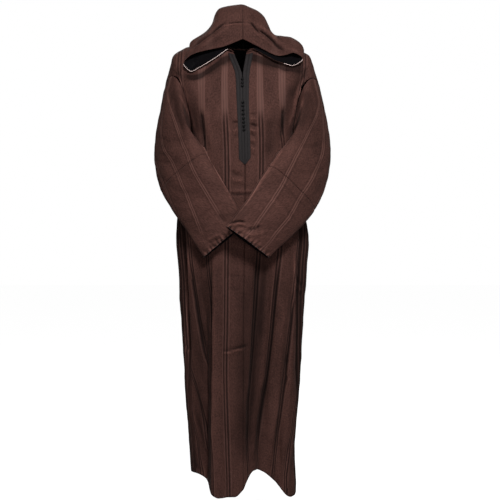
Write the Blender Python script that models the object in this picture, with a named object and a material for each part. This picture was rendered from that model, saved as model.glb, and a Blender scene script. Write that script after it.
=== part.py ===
"""A hooded robe of striped cloth, hollow as it hangs when worn, with its sleeves folded across the front.

+Z is up, the front faces -Y, and the wearer's left side is at +X. The origin lies at the base of the neck.
Every piece of cloth is a thin wall made from a grid of points on its middle surface.
"""

import math
from collections import namedtuple

import bpy
import numpy as np
from mathutils import Vector
from mathutils.bvhtree import BVHTree

# Driving dimensions, in metres: the cloth, the gaps at its seams, and how far loose layers stay off the body
CLOTH = 0.002
SEAM_GAP = 0.0003
SIDE_GAP = 0.0007
ARMHOLE_GAP = 0.0008
CLEAR = 0.0045
BESIDE = 0.004
LEAST_SINE = 0.05

# The body: the heights of the chest line and the hem, the neckline, and the open slit below it
SHOULDER_Y = 0.008
CHEST_Z = -0.29
HEM_Z = -1.42
NECK_HALF_WIDTH = 0.075
FRONT_NECK_DIP = 0.36
BACK_NECK_DIP = 0.22
SLIT_TOP_Z = -0.010
SLIT_END_Z = -0.115
SLIT_HALF = {"right": 0.030, "left": 0.012}
SLIT_REACH = 0.060

# The braid beside the slit and the knots that close it
BRAID_THICK = 0.0015
BRAID_GAP = 0.0007
BRAID_SHARE = 0.072
BRAID_END_Z = -0.390
BRAID_POINT = 0.018
BRAID_TIP_SHARE = 0.12
BRAID_TOP_ROW = 0.4
KNOT_WIDE = 0.0042
KNOT_HIGH = 0.0034
KNOT_DEEP = 0.0030
KNOT_HEIGHTS = (-0.120, -0.131, -0.142, -0.195, -0.206, -0.219, -0.232, -0.246, -0.258, -0.270, -0.282)

# Sizes of the grids, in cells
BODY_COLUMNS = 19
SIDE_COLUMNS = 4
YOKE_ROWS = 10
SKIRT_ROWS = 17
SLEEVE_CAP_ROWS = 6
UPPER_SLEEVE_ROWS = 4
LOWER_SLEEVE_ROWS = 10
HOOD_OVER_COLUMNS = 9
HOOD_UNDER_COLUMNS = 8

SIDES = {"right": -1, "left": 1}

# Where the seam of the side panel runs, as a share of the way from the middle to the side
SIDE_SEAM_TOP = 0.93
SIDE_SEAM_LOW = 0.785
SIDE_SEAM_LOW_Z = -0.60

# The shoulder line from the middle of the neck to the top of the armhole
Shoulder = namedtuple("Shoulder", "share right_x right_z left_x left_z")
SHOULDER = (
    Shoulder(0.00, 0.000, 0.036, 0.000, 0.036),
    Shoulder(0.21, 0.075, 0.033, 0.075, 0.033),
    Shoulder(0.42, 0.150, 0.015, 0.145, 0.014),
    Shoulder(0.60, 0.208, -0.004, 0.198, -0.008),
    Shoulder(0.70, 0.228, -0.025, 0.218, -0.026),
    Shoulder(0.80, 0.238, -0.056, 0.229, -0.056),
    Shoulder(1.00, 0.259, -0.134, 0.257, -0.143),
)

# How the cloth leaves the shoulder line and reaches the chest line, as the two handles of a cubic curve.
# "in" is towards the middle of the body, "out" is away from the shoulder line, to the front or the back.
Yoke = namedtuple("Yoke", "share start_in start_out start_up end_in end_out end_up")
FRONT_YOKE = (
    Yoke(0.00, 0.000, 0.105, 0.004, 0.000, 0.000, 0.130),
    Yoke(0.30, 0.000, 0.102, 0.004, 0.000, 0.006, 0.130),
    Yoke(0.62, -0.004, 0.104, 0.006, 0.000, 0.060, 0.130),
    Yoke(0.80, 0.000, 0.112, 0.040, 0.002, 0.100, 0.120),
    Yoke(1.00, 0.030, 0.120, 0.110, 0.010, 0.104, 0.115),
)
BACK_YOKE = (
    Yoke(0.00, 0.000, 0.100, 0.000, 0.000, 0.004, 0.130),
    Yoke(0.30, 0.000, 0.100, 0.000, 0.000, 0.012, 0.130),
    Yoke(0.62, -0.004, 0.098, 0.002, 0.000, 0.050, 0.130),
    Yoke(0.80, 0.000, 0.100, 0.020, 0.002, 0.084, 0.120),
    Yoke(1.00, 0.020, 0.104, 0.060, 0.010, 0.092, 0.110),
)

# The seam down the middle of the front leans a little to the wearer's left
Lean = namedtuple("Lean", "z x")
MIDDLE = (Lean(0.04, 0.0), Lean(-0.18, 0.0), Lean(-0.34, 0.0065), Lean(-0.50, 0.0070), Lean(-0.80, 0.0035),
          Lean(-1.46, 0.0030))
LEAN_REACH = 0.090

# The outline of the body below the chest line, and the tuck between the front and the side
Level = namedtuple("Level", "z right_half left_half front back tuck")
LEVELS = (
    Level(-0.29, 0.166, 0.164, 0.146, 0.117, 0.000),
    Level(-0.42, 0.172, 0.170, 0.147, 0.110, 0.000),
    Level(-0.52, 0.210, 0.196, 0.142, 0.112, 0.012),
    Level(-0.60, 0.219, 0.214, 0.136, 0.120, 0.026),
    Level(-0.72, 0.212, 0.210, 0.128, 0.128, 0.030),
    Level(-0.84, 0.207, 0.201, 0.121, 0.132, 0.028),
    Level(-0.98, 0.197, 0.194, 0.115, 0.132, 0.016),
    Level(-1.12, 0.190, 0.184, 0.110, 0.130, 0.000),
    Level(-1.28, 0.178, 0.171, 0.107, 0.128, 0.000),
    Level(-1.46, 0.166, 0.174, 0.104, 0.126, 0.000),
)
TUCK_ANGLE = math.radians(68)
TUCK_SPREAD = math.radians(8)
CORNER_X = 0.90
CORNER_Y = 0.84
OUTLINE_POINTS = 240
OUTLINE_HEIGHTS = 70
BELOW_HEM = 0.04
FOLDS_START = 0.02
FOLDS_FULL = 0.30

# Folds: each lifts the cloth between two lines that run from the fold's top to the hem
Fold = namedtuple("Fold", "from_top from_hem from_soft to_top to_hem to_soft top_z hem_depth growth")
FRONT_FOLDS = (
    Fold(-0.113, -0.107, 0.012, 0.044, 0.030, 0.046, -0.56, 0.086, 0.90),
    Fold(0.052, 0.026, 0.014, 0.112, 0.040, 0.012, -0.54, 0.012, 0.30),
    Fold(0.124, 0.052, 0.012, 0.168, 0.098, 0.012, -0.54, 0.016, 0.40),
    Fold(0.172, 0.112, 0.014, 0.260, 0.260, 0.020, -0.70, 0.034, 0.90),
    Fold(-0.176, -0.146, 0.014, -0.130, -0.120, 0.010, -0.60, 0.012, 0.50),
)
BACK_FOLDS = (
    Fold(-0.150, -0.142, 0.016, -0.104, -0.092, 0.020, -0.46, 0.034, 0.80),
    Fold(-0.066, -0.060, 0.018, -0.020, -0.012, 0.018, -0.40, 0.026, 0.80),
    Fold(0.024, 0.020, 0.014, 0.078, 0.064, 0.024, -0.44, 0.038, 0.90),
    Fold(0.110, 0.098, 0.018, 0.164, 0.146, 0.016, -0.50, 0.028, 0.70),
)

# The height of the hem along the front and the back
Hem = namedtuple("Hem", "x z")
FRONT_HEM = (
    Hem(-0.180, -1.384), Hem(-0.116, -1.394), Hem(-0.096, -1.424), Hem(-0.050, -1.428), Hem(-0.006, -1.414),
    Hem(0.026, -1.358), Hem(0.066, -1.366), Hem(0.110, -1.408), Hem(0.150, -1.450), Hem(0.180, -1.446),
)
BACK_HEM = (
    Hem(-0.180, -1.388), Hem(-0.100, -1.404), Hem(0.000, -1.396), Hem(0.100, -1.408), Hem(0.180, -1.400),
)

# Each sleeve below its cap, from the upper arm to the cuff, by its outer and inner edges as seen from the front
Ring = namedtuple("Ring", "outer_x outer_y outer_z inner_x inner_y inner_z half_depth")
RIGHT_SLEEVE = (
    Ring(-0.282, -0.022, -0.368, -0.128, -0.150, -0.328, 0.037),
    Ring(-0.275, -0.038, -0.422, -0.111, -0.164, -0.364, 0.035),
    Ring(-0.260, -0.054, -0.470, -0.095, -0.176, -0.396, 0.034),
    Ring(-0.235, -0.082, -0.516, -0.070, -0.184, -0.436, 0.033),
    Ring(-0.201, -0.112, -0.567, -0.046, -0.188, -0.474, 0.029),
    Ring(-0.167, -0.136, -0.616, -0.024, -0.188, -0.512, 0.025),
    Ring(-0.142, -0.150, -0.651, -0.008, -0.188, -0.546, 0.022),
    Ring(-0.119, -0.160, -0.683, 0.008, -0.186, -0.578, 0.020),
)
LEFT_SLEEVE = (
    Ring(0.279, -0.026, -0.380, 0.121, -0.152, -0.336, 0.036),
    Ring(0.268, -0.046, -0.438, 0.102, -0.170, -0.372, 0.035),
    Ring(0.252, -0.066, -0.486, 0.082, -0.184, -0.402, 0.033),
    Ring(0.228, -0.094, -0.532, 0.054, -0.200, -0.446, 0.031),
    Ring(0.190, -0.126, -0.580, 0.024, -0.216, -0.492, 0.027),
    Ring(0.151, -0.156, -0.622, -0.002, -0.230, -0.528, 0.024),
    Ring(0.112, -0.178, -0.656, -0.026, -0.240, -0.560, 0.022),
    Ring(0.079, -0.192, -0.684, -0.048, -0.244, -0.590, 0.020),
)
SLEEVE_EDGE = 0.86
CAP_OUTWARD_TOP = 0.034
CAP_BULGE = 0.200
CAP_BULGE_TURN = math.radians(200)
CAP_BULGE_SPREAD = math.radians(50)
CAP_FORWARD = 0.030
CAP_END_STRETCH = 2.4
UNDERARM_TURN = math.radians(228)
EASE_ROUNDS = 3
EASE_SHARE = 0.9
EASE_TURN = math.radians(215)
EASE_SPREAD = math.radians(50)
# The ring at which each sleeve is pieced, and how many rings the seam slants from the inner to the outer edge
PIECING_RING = {"right": 1.5, "left": 2.5}
PIECING_SLANT = {"right": 1.3, "left": 1.1}

# Each half of the hood: rows run from the mouth over the top and down to the point. A row leaves the middle
# at the crown, passes high and mid, turns under at the fold and comes back past low to the neckline.
HoodRow = namedtuple(
    "HoodRow", "share crown_y crown_z high_x high_z mid_x mid_z fold_x fold_y fold_z gap low_x low_y low_z"
)
RIGHT_HOOD = [HoodRow(*row) for row in (
    (0.00, -0.100, 0.015, 0.054, -0.008, 0.122, -0.024, 0.189, -0.104, -0.064, 0.050, 0.122, -0.108, -0.068),
    (0.14, -0.100, 0.062, 0.066, 0.052, 0.116, 0.022, 0.182, -0.084, -0.036, 0.040, 0.118, -0.084, -0.030),
    (0.28, -0.078, 0.112, 0.078, 0.098, 0.106, 0.060, 0.172, -0.044, 0.010, 0.034, 0.118, -0.044, 0.020),
    (0.42, -0.030, 0.143, 0.084, 0.126, 0.106, 0.070, 0.164, 0.004, 0.026, 0.030, 0.114, 0.004, 0.032),
    (0.55, 0.030, 0.138, 0.080, 0.112, 0.108, 0.056, 0.152, 0.056, 0.010, 0.030, 0.110, 0.050, 0.020),
    (0.68, 0.092, 0.084, 0.074, 0.052, 0.108, 0.004, 0.142, 0.100, -0.050, 0.028, 0.100, 0.094, -0.016),
    (0.80, 0.140, -0.020, 0.056, -0.042, 0.086, -0.068, 0.120, 0.134, -0.116, 0.022, 0.078, 0.120, -0.056),
    (0.91, 0.158, -0.150, 0.028, -0.160, 0.046, -0.172, 0.078, 0.146, -0.196, 0.022, 0.048, 0.130, -0.096),
    (1.00, 0.160, -0.256, 0.000, -0.268, 0.000, -0.278, 0.000, 0.151, -0.290, 0.012, 0.000, 0.135, -0.120),
)]
LEFT_HOOD = [HoodRow(*row) for row in (
    (0.00, -0.100, 0.015, 0.050, -0.010, 0.120, -0.040, 0.190, -0.098, -0.048, 0.036, 0.120, -0.106, -0.062),
    (0.14, -0.100, 0.062, 0.052, 0.050, 0.112, 0.014, 0.196, -0.076, -0.016, 0.040, 0.120, -0.080, -0.028),
    (0.28, -0.078, 0.112, 0.060, 0.090, 0.104, 0.040, 0.188, -0.036, 0.010, 0.036, 0.120, -0.040, 0.018),
    (0.42, -0.030, 0.143, 0.064, 0.112, 0.104, 0.046, 0.176, 0.008, 0.022, 0.030, 0.116, 0.006, 0.030),
    (0.55, 0.030, 0.138, 0.066, 0.100, 0.104, 0.042, 0.162, 0.056, 0.010, 0.030, 0.110, 0.050, 0.020),
    (0.68, 0.092, 0.084, 0.072, 0.052, 0.108, 0.004, 0.144, 0.100, -0.050, 0.028, 0.100, 0.094, -0.016),
    (0.80, 0.140, -0.020, 0.056, -0.042, 0.085, -0.068, 0.118, 0.134, -0.116, 0.022, 0.078, 0.120, -0.056),
    (0.91, 0.158, -0.150, 0.028, -0.160, 0.045, -0.172, 0.076, 0.146, -0.196, 0.022, 0.048, 0.130, -0.096),
    (1.00, 0.160, -0.256, 0.000, -0.268, 0.000, -0.278, 0.000, 0.151, -0.290, 0.012, 0.000, 0.135, -0.120),
)]
HOOD_STAND = 0.016
HOOD_STAND_MOUTH = 0.25
HOOD_HIGH_REACH = 0.30
HOOD_MID_REACH = 0.62
HOOD_FOLD_OVER = 0.022
HOOD_FOLD_UNDER = 0.016
HOOD_NARROW = 0.05
HOOD_CURVE_POINTS = 80
HOOD_TURN = 0.05
HOOD_LEAN_FROM = 0.55
HOOD_LEAN_TO = 0.80

# Colours from the cloth and its trim: base colour, roughness
CLOTH_LOOK = ((0.062, 0.031, 0.024), 0.85)
BRAID_LOOK = ((0.035, 0.035, 0.040), 0.7)
KNOT_LOOK = ((0.006, 0.006, 0.007), 0.5)


def smoothstep(low, high, value):
    share = np.clip((value - low) / (high - low), 0, 1)
    return share * share * (3 - 2 * share)


def through(keys, values, at):
    """A smooth curve through values at keys, read at the places in at."""
    keys, values, at = (np.asarray(part, float) for part in (keys, values, at))
    flat = values.reshape(len(keys), -1)
    slopes = np.gradient(flat, keys, axis=0)
    place = np.clip(np.searchsorted(keys, at, side="right") - 1, 0, len(keys) - 2)
    width = keys[place + 1] - keys[place]
    t = ((np.clip(at, keys[0], keys[-1]) - keys[place]) / width)[..., None]
    width = width[..., None]
    read = (
        (2 * t**3 - 3 * t**2 + 1) * flat[place]
        + (t**3 - 2 * t**2 + t) * width * slopes[place]
        + (3 * t**2 - 2 * t**3) * flat[place + 1]
        + (t**3 - t**2) * width * slopes[place + 1]
    )
    return read.reshape(at.shape + values.shape[1:])


def column(table, name):
    return np.array([getattr(row, name) for row in table])


def read_table(table, key, names, at):
    order = sorted(table, key=lambda row: getattr(row, key))
    values = np.stack([column(order, name) for name in names], axis=1)
    return through(column(order, key), values, at)


def along(points, shares):
    """Points at the given shares of the length of a fine line of points."""
    steps = np.linalg.norm(np.diff(points, axis=0), axis=1)
    length = np.concatenate([[0], np.cumsum(steps)])
    return np.stack([np.interp(shares * length[-1], length, points[:, k]) for k in range(3)], axis=1)


def fold_lift(folds, x, z):
    """How far the folds lift the cloth at x, at height z."""
    lift = np.zeros_like(x)
    for fold in folds:
        down = np.clip((fold.top_z - z) / (fold.top_z - HEM_Z), 0, 1.05)
        start = fold.from_top + (fold.from_hem - fold.from_top) * down
        end = fold.to_top + (fold.to_hem - fold.to_top) * down
        shape = smoothstep(start - fold.from_soft, start + fold.from_soft, x)
        shape = shape * (1 - smoothstep(end - fold.to_soft, end + fold.to_soft, x))
        lift = lift + fold.hem_depth * down**fold.growth * shape
    return lift


def section(z, side, face):
    """A fine line round a quarter of the body at height z, from the middle of its face to the side."""
    sign = SIDES[side]
    half, depth, tuck = read_table(LEVELS, "z", (side + "_half", face, "tuck"), np.array([z]))[0]
    turn = np.linspace(0, math.pi / 2, OUTLINE_POINTS)
    x = half * np.sin(turn) ** CORNER_X
    y = depth * np.cos(turn) ** CORNER_Y
    inward = tuck * np.exp(-(((turn - TUCK_ANGLE) / TUCK_SPREAD) ** 2)) if face == "front" else 0 * turn
    x, y = x - inward * np.sin(turn), y - inward * np.cos(turn)
    folds = FRONT_FOLDS if face == "front" else BACK_FOLDS
    lift = fold_lift(folds, sign * x, z) * smoothstep(FOLDS_START, FOLDS_FULL, np.cos(turn))
    toward = -1 if face == "front" else 1
    return np.stack([sign * x, toward * (y + lift), np.full_like(x, z)], axis=1)


def quarter(side, face):
    """The middle surface of a quarter of the body: rows from the shoulder line to the hem, columns outwards."""
    sign, toward = SIDES[side], -1 if face == "front" else 1
    shares = shoulder_shares()
    ridge = read_table(SHOULDER, "share", (side + "_x", side + "_z"), shares)
    start = np.stack([sign * ridge[:, 0], np.full_like(shares, SHOULDER_Y), ridge[:, 1]], axis=1)
    handles = read_table(FRONT_YOKE if face == "front" else BACK_YOKE, "share", Yoke._fields[1:], shares)
    turned = np.array([-sign, toward, 1])
    first = start + handles[:, :3] * turned
    end = along(section(CHEST_Z, side, face), column_shares(CHEST_Z))
    second = end + handles[:, 3:] * turned
    neck = np.sqrt(np.clip(1 - (ridge[:, 0] / NECK_HALF_WIDTH) ** 2, 0, 1))
    dip = neck * (FRONT_NECK_DIP if face == "front" else BACK_NECK_DIP)
    down = np.linspace(0, 1, YOKE_ROWS + 1)[:, None]
    t = (dip + (1 - dip) * down)[..., None]
    yoke = (1 - t) ** 3 * start + 3 * (1 - t) ** 2 * t * first + 3 * (1 - t) * t**2 * second + t**3 * end
    grid = np.concatenate([yoke, skirt(side, face)])
    if face == "front":
        near = np.exp(-((grid[..., 0] / LEAN_REACH) ** 2))
        grid[..., 0] += read_table(MIDDLE, "z", ("x",), grid[..., 2])[..., 0] * near
        slit = SLIT_HALF[side] * smoothstep(SLIT_END_Z, SLIT_TOP_Z, grid[..., 2])
        grid[..., 0] += sign * slit * np.exp(-((grid[..., 0] / SLIT_REACH) ** 2))
    return grid


def shoulder_shares():
    """The columns of a quarter along the shoulder line, the first as wide as the braid."""
    return np.concatenate([[0], np.linspace(BRAID_SHARE, 1, BODY_COLUMNS)])


def column_shares(z):
    """The columns of a quarter at height z, as shares of the way to the side. One follows the side seam."""
    seam = SIDE_SEAM_TOP + (SIDE_SEAM_LOW - SIDE_SEAM_TOP) * smoothstep(CHEST_Z, SIDE_SEAM_LOW_Z, z)
    edge = BODY_COLUMNS - SIDE_COLUMNS
    beside = np.linspace(seam, 1, SIDE_COLUMNS + 1)[1:]
    return np.concatenate([[0], np.linspace(BRAID_SHARE, seam, edge), beside])


def skirt(side, face):
    """The rows of a quarter of the body below the chest line."""
    heights = np.linspace(CHEST_Z, HEM_Z - BELOW_HEM, OUTLINE_HEIGHTS)
    fine = np.stack([along(section(z, side, face), column_shares(z)) for z in heights])
    hem = FRONT_HEM if face == "front" else BACK_HEM
    hem_z = through(column(hem, "x"), column(hem, "z"), fine[-3][:, 0])
    columns = np.arange(BODY_COLUMNS + 1)
    rows = []
    for down in np.linspace(0, 1, SKIRT_ROWS + 1)[1:]:
        z = CHEST_Z + (hem_z - CHEST_Z) * down
        place = np.clip((z - heights[0]) / (heights[-1] - heights[0]), 0, 1) * (len(heights) - 1)
        low = np.minimum(place.astype(int), len(heights) - 2)
        share = (place - low)[:, None]
        rows.append(fine[low, columns] * (1 - share) + fine[low + 1, columns] * share)
    return np.array(rows)


def normals_of(grid, closed=False):
    """The normals of a grid of points, rows running down and columns running across."""
    down = np.gradient(grid, axis=0)
    if closed:
        across = (np.roll(grid, -1, axis=1) - np.roll(grid, 1, axis=1)) / 2
    else:
        across = np.gradient(grid, axis=1)
    return unit(np.cross(down, across))


def unit(vectors):
    return vectors / np.maximum(np.linalg.norm(vectors, axis=-1, keepdims=True), 1e-12)


def body_quarters():
    """The four quarters of the body with their outward normals, which neighbours share along their seams."""
    grids, normals = {}, {}
    for side, sign in SIDES.items():
        for face in ("front", "back"):
            grids[side, face] = grid = quarter(side, face)
            normals[side, face] = sign * (1 if face == "front" else -1) * normals_of(grid)
    for face in ("front", "back"):
        right, left = normals["right", face], normals["left", face]
        middle = right[:, 0] + left[:, 0]
        middle[:, 0] = 0
        right[:, 0] = left[:, 0] = unit(middle)
    on_shoulder = slice(neck_columns(), None)
    for side in SIDES:
        front, back = normals[side, "front"], normals[side, "back"]
        front[YOKE_ROWS:, -1] = back[YOKE_ROWS:, -1] = unit(front[YOKE_ROWS:, -1] + back[YOKE_ROWS:, -1])
        tops = unit(front[0, on_shoulder] + back[0, on_shoulder])
        front[0, on_shoulder] = back[0, on_shoulder] = tops
    return grids, normals


def neck_columns():
    """How many columns of a quarter start at the neckline instead of on the shoulder line."""
    x = read_table(SHOULDER, "share", ("left_x",), shoulder_shares())[:, 0]
    return int(np.sum(x < NECK_HALF_WIDTH))


def body_panels(grids, normals):
    """The grids and normals of the front halves, the back and the sides, and the cells that each leaves out."""
    edge = BODY_COLUMNS - SIDE_COLUMNS
    rows = range(YOKE_ROWS, YOKE_ROWS + SKIRT_ROWS)
    panels = {}
    for side in SIDES:
        front, back = (side, "front"), (side, "back")
        below = slice(YOKE_ROWS, None)
        grid, normal = (
            np.concatenate([source[front][below, edge:], source[back][below, edge:-1][:, ::-1]], axis=1)
            for source in (grids, normals)
        )
        for end in ("top", "first", "last"):
            grid = step_in(grid, end, SIDE_GAP)
        panels["side_" + side] = grid, normal, ()
        grid = step_in(step_in(grids[front], "top", SEAM_GAP / 2), "first", SEAM_GAP / 2)
        left_out = {(i, j) for i in rows for j in range(edge, BODY_COLUMNS)}
        panels["front_" + side] = grid, normals[front], left_out
    grid, normal = (
        np.concatenate([source["right", "back"][:, :0:-1], source["left", "back"]], axis=1)
        for source in (grids, normals)
    )
    ends = [*range(SIDE_COLUMNS), *range(BODY_COLUMNS + edge, 2 * BODY_COLUMNS)]
    panels["back"] = step_in(grid, "top", SEAM_GAP / 2), normal, {(i, j) for i in rows for j in ends}
    return panels


def step_in(grid, edge, distance):
    """The grid with one edge moved towards its middle, to leave the gap of a seam."""
    grid = grid.copy()
    rows = {"top": (0, 1), "bottom": (-1, -2)}
    if edge in rows:
        last, inner = rows[edge]
        grid[last] += np.reshape(distance, (-1, 1)) * unit(grid[inner] - grid[last])
    else:
        last, inner = (0, 1) if edge == "first" else (-1, -2)
        grid[:, last] += np.reshape(distance, (-1, 1)) * unit(grid[:, inner] - grid[:, last])
    return grid


def strip_faces(rows, columns, closed):
    """The four-sided faces of a grid, as indices."""
    wrap = columns if closed else columns - 1
    across = [(j, (j + 1) % columns) for j in range(wrap)]
    return [
        (i * columns + a, (i + 1) * columns + a, (i + 1) * columns + b, i * columns + b)
        for i in range(rows - 1)
        for a, b in across
    ]


def wall(name, grid, normals, look, thickness=CLOTH, lift=0.0, closed=False, without=()):
    """A solid of even thickness about a grid of points, offset along the given normals.

    The cells named in without, as pairs of row and column, are left out of the cloth.
    """
    rows, columns = grid.shape[:2]
    outer = (grid + normals * (lift + thickness / 2)).reshape(-1, 3)
    inner = (grid + normals * (lift - thickness / 2)).reshape(-1, 3)
    count = rows * columns
    missing = {(i * columns + j) for i, j in without}
    faces = [face for face in strip_faces(rows, columns, closed) if face[0] not in missing]
    whole = faces + [tuple(count + index for index in reversed(face)) for face in faces]
    used = {(a, b) for face in faces for a, b in zip(face, face[1:] + face[:1])}
    whole += [(b, a, count + a, count + b) for a, b in sorted(used) if (b, a) not in used]
    return mesh_object(name, np.concatenate([outer, inner]), whole, look)


def mesh_object(name, points, faces, look):
    used = sorted({index for face in faces for index in face})
    new_index = {old: new for new, old in enumerate(used)}
    mesh = bpy.data.meshes.new(name)
    mesh.from_pydata(
        [tuple(points[index]) for index in used],
        [],
        [tuple(new_index[index] for index in face) for face in faces],
    )
    mesh.update()
    piece = bpy.data.objects.new(name, mesh)
    place_in_collection(piece)
    turn_outward(mesh)
    mesh.shade_smooth()
    mesh.set_sharp_from_angle(angle=math.radians(50))
    mesh.materials.append(material(name, look))
    return piece


def turn_outward(mesh):
    """Flips a closed mesh whose faces point inwards."""
    mesh.calc_loop_triangles()
    volume = 0.0
    for triangle in mesh.loop_triangles:
        a, b, c = (mesh.vertices[index].co for index in triangle.vertices)
        volume += a.dot(b.cross(c))
    if volume < 0:
        mesh.flip_normals()


def material(name, look):
    colour, roughness = look
    made = bpy.data.materials.new(name)
    made.use_nodes = True
    shader = made.node_tree.nodes["Principled BSDF"]
    shader.inputs["Base Color"].default_value = (*colour, 1)
    shader.inputs["Roughness"].default_value = roughness
    return made


def joint_shift(loop, inwards, outwards, onwards):
    """How the edge of a sleeve moves off the edge of the body that it is sewn to, to keep their walls apart.

    Where the sleeve folds back over the body it moves off the body's face, and elsewhere along its surface.
    """
    half = CLOTH / 2
    along_seam = unit(np.roll(loop, -1, axis=0) - np.roll(loop, 1, axis=0))
    away, inwards = (
        unit(way - along_seam * np.sum(way * along_seam, axis=1, keepdims=True))
        for way in (unit(onwards - loop), inwards)
    )
    cosine = np.sum(away * inwards, axis=1, keepdims=True)
    sine = np.maximum(np.sqrt(np.clip(1 - cosine**2, 0, 1)), LEAST_SINE)
    off_face = half * (1 + cosine) + ARMHOLE_GAP
    off_end = (half * sine + ARMHOLE_GAP) / np.maximum(-cosine, LEAST_SINE)
    return np.where(cosine > 0, outwards * off_face, away * np.minimum(off_face / sine, off_end))


def armhole(parts, side, place=-1):
    """A line round the armhole from the shoulder down the front to the underarm and up the back."""
    front, back = parts[side, "front"], parts[side, "back"]
    return np.concatenate([front[: YOKE_ROWS + 1, place], back[YOKE_ROWS - 1 : 0 : -1, place]])


def sleeve_rings(side, turns):
    """The rings of a sleeve below its cap, each a flattened loop from the outer edge over the front."""
    table = RIGHT_SLEEVE if side == "right" else LEFT_SLEEVE
    outer = np.stack([column(table, "outer_" + axis) for axis in "xyz"], axis=1)
    inner = np.stack([column(table, "inner_" + axis) for axis in "xyz"], axis=1)
    middle, half = (outer + inner) / 2, (outer - inner) / 2
    forward = unit(np.cross(np.gradient(middle, axis=0), half))
    forward *= -np.sign(forward[:, 1:2])
    cosine, sine = np.cos(turns), np.sin(turns)
    across = np.sign(cosine) * np.abs(cosine) ** SLEEVE_EDGE
    ahead = np.sign(sine) * np.abs(sine) ** SLEEVE_EDGE
    deep = forward * column(table, "half_depth")[:, None]
    return middle[:, None] + half[:, None] * across[None, :, None] + deep[:, None] * ahead[None, :, None]


def sleeve_turns(columns):
    """The angle of each column round a sleeve, where the half up to the underarm takes over half a turn."""
    share = np.arange(columns) / columns
    return np.interp(share, (0, 0.5, 1), (0, UNDERARM_TURN, 2 * math.pi))


def sleeve_points(side, loop, places):
    """Points on a sleeve. A place runs from -1 at the armhole to 0 at the end of the cap and on by rings."""
    turns = sleeve_turns(len(loop))
    rings = sleeve_rings(side, turns)
    outward = CAP_OUTWARD_TOP + CAP_BULGE * np.exp(-(((turns - CAP_BULGE_TURN) / CAP_BULGE_SPREAD) ** 2))
    forward = -CAP_FORWARD * np.maximum(np.sin(turns), 0)
    start = rings[0] - loop + np.stack([SIDES[side] * outward, forward, 0 * turns], axis=1)
    end = (rings[1] - rings[0]) * CAP_END_STRETCH
    points = np.empty(places.shape + (3,))
    for j in range(len(loop)):
        t = np.clip(places[:, j] + 1, 0, 1)[:, None]
        cap = (
            (2 * t**3 - 3 * t**2 + 1) * loop[j]
            + (t**3 - 2 * t**2 + t) * start[j]
            + (3 * t**2 - 2 * t**3) * rings[0, j]
            + (t**3 - t**2) * end[j]
        )
        below = through(np.arange(len(rings)), rings[:, j], np.maximum(places[:, j], 0))
        points[:, j] = np.where(places[:, j, None] < 0, cap, below)
    return points


def eased(grid, turns):
    """The rows of a sleeve with the cloth under the arm smoothed. The first and last rows stay."""
    grid = grid.copy()
    share = EASE_SHARE * np.exp(-(((turns - EASE_TURN) / EASE_SPREAD) ** 2))[:, None]
    for _ in range(EASE_ROUNDS):
        beside = (np.roll(grid, 1, axis=1) + np.roll(grid, -1, axis=1)) / 2
        average = (grid[:-2] + grid[2:]) / 4 + beside[1:-1] / 2
        grid[1:-1] += share * (average - grid[1:-1])
    return grid


def sleeves(grids, body_normals, tree, side):
    """The two parts of a sleeve, above and below the seam where it is pieced."""
    loop = armhole(grids, side)
    columns = len(loop)
    turns = sleeve_turns(columns)
    last = len(RIGHT_SLEEVE) - 1
    seam = PIECING_RING[side] + PIECING_SLANT[side] * np.cos(turns) / 2
    cap = np.linspace(-1, 0, SLEEVE_CAP_ROWS + 1)[:-1, None] * np.ones(columns)
    upper = np.concatenate([cap, np.linspace(0, 1, UPPER_SLEEVE_ROWS + 1)[:, None] * seam])
    lower = seam + np.linspace(0, 1, LOWER_SLEEVE_ROWS + 1)[:, None] * (last - seam)
    upper = sleeve_points(side, loop, upper)
    upper[: SLEEVE_CAP_ROWS + 2] = eased(upper[: SLEEVE_CAP_ROWS + 2], turns)
    upper[1:] = kept_clear(upper[1:], tree, CLOTH / 2 + CLEAR)
    lower = kept_clear(sleeve_points(side, loop, lower), tree, CLOTH / 2 + CLEAR)
    whole = np.concatenate([upper, lower[1:]])
    normals = normals_of(whole, closed=True)
    outwards = np.sign(np.sum(normals[-1, 0] * (whole[-1, 0] - whole[-1].mean(axis=0))))
    normals *= outwards
    inwards = unit(armhole(grids, side, -2) - loop)
    upper[0] += joint_shift(loop, inwards, armhole(body_normals, side), upper[1])
    upper = step_in(upper, "bottom", SEAM_GAP / 2)
    lower = step_in(lower, "top", SEAM_GAP / 2)
    split = SLEEVE_CAP_ROWS + UPPER_SLEEVE_ROWS
    return (upper, normals[: split + 1]), (lower, normals[split:])


def surface_tree(grids, normals):
    """A search tree over the outer faces of the body, with the normal of each face."""
    points, faces = [], []
    for key, grid in grids.items():
        start = len(points)
        points += [Vector(point) for point in (grid + normals[key] * CLOTH / 2).reshape(-1, 3)]
        for a, b, c, d in strip_faces(*grid.shape[:2], False):
            corners = (start + a, start + b, start + c, start + d)
            outward = SIDES[key[0]] * (1 if key[1] == "front" else -1)
            faces.append(corners if outward > 0 else corners[::-1])
    return BVHTree.FromPolygons(points, faces)


def kept_clear(grid, tree, distance):
    """The grid with the points that come too near the body moved out."""
    moved = grid.copy()
    for index in np.ndindex(grid.shape[:2]):
        point = Vector(grid[index])
        place, normal, _, _ = tree.find_nearest(point)
        height = (point - place).dot(normal)
        beside = (point - place - normal * height).length
        if height < distance and beside < BESIDE:
            moved[index] = point + normal * (distance - height)
    return moved


def hood_half(grids, side):
    """One half of the hood: rows from its mouth to its point, columns from the top seam to the neckline."""
    table = RIGHT_HOOD if side == "right" else LEFT_HOOD
    neck = halved(neckline(grids, side))
    shares = np.linspace(0, 1, len(neck))
    values = read_table(table, "share", HoodRow._fields[1:], shares)
    rows = [HoodRow(share, *row) for share, row in zip(shares, values)]
    return np.array([hood_section(row, point, SIDES[side]) for row, point in zip(rows, neck)])


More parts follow.
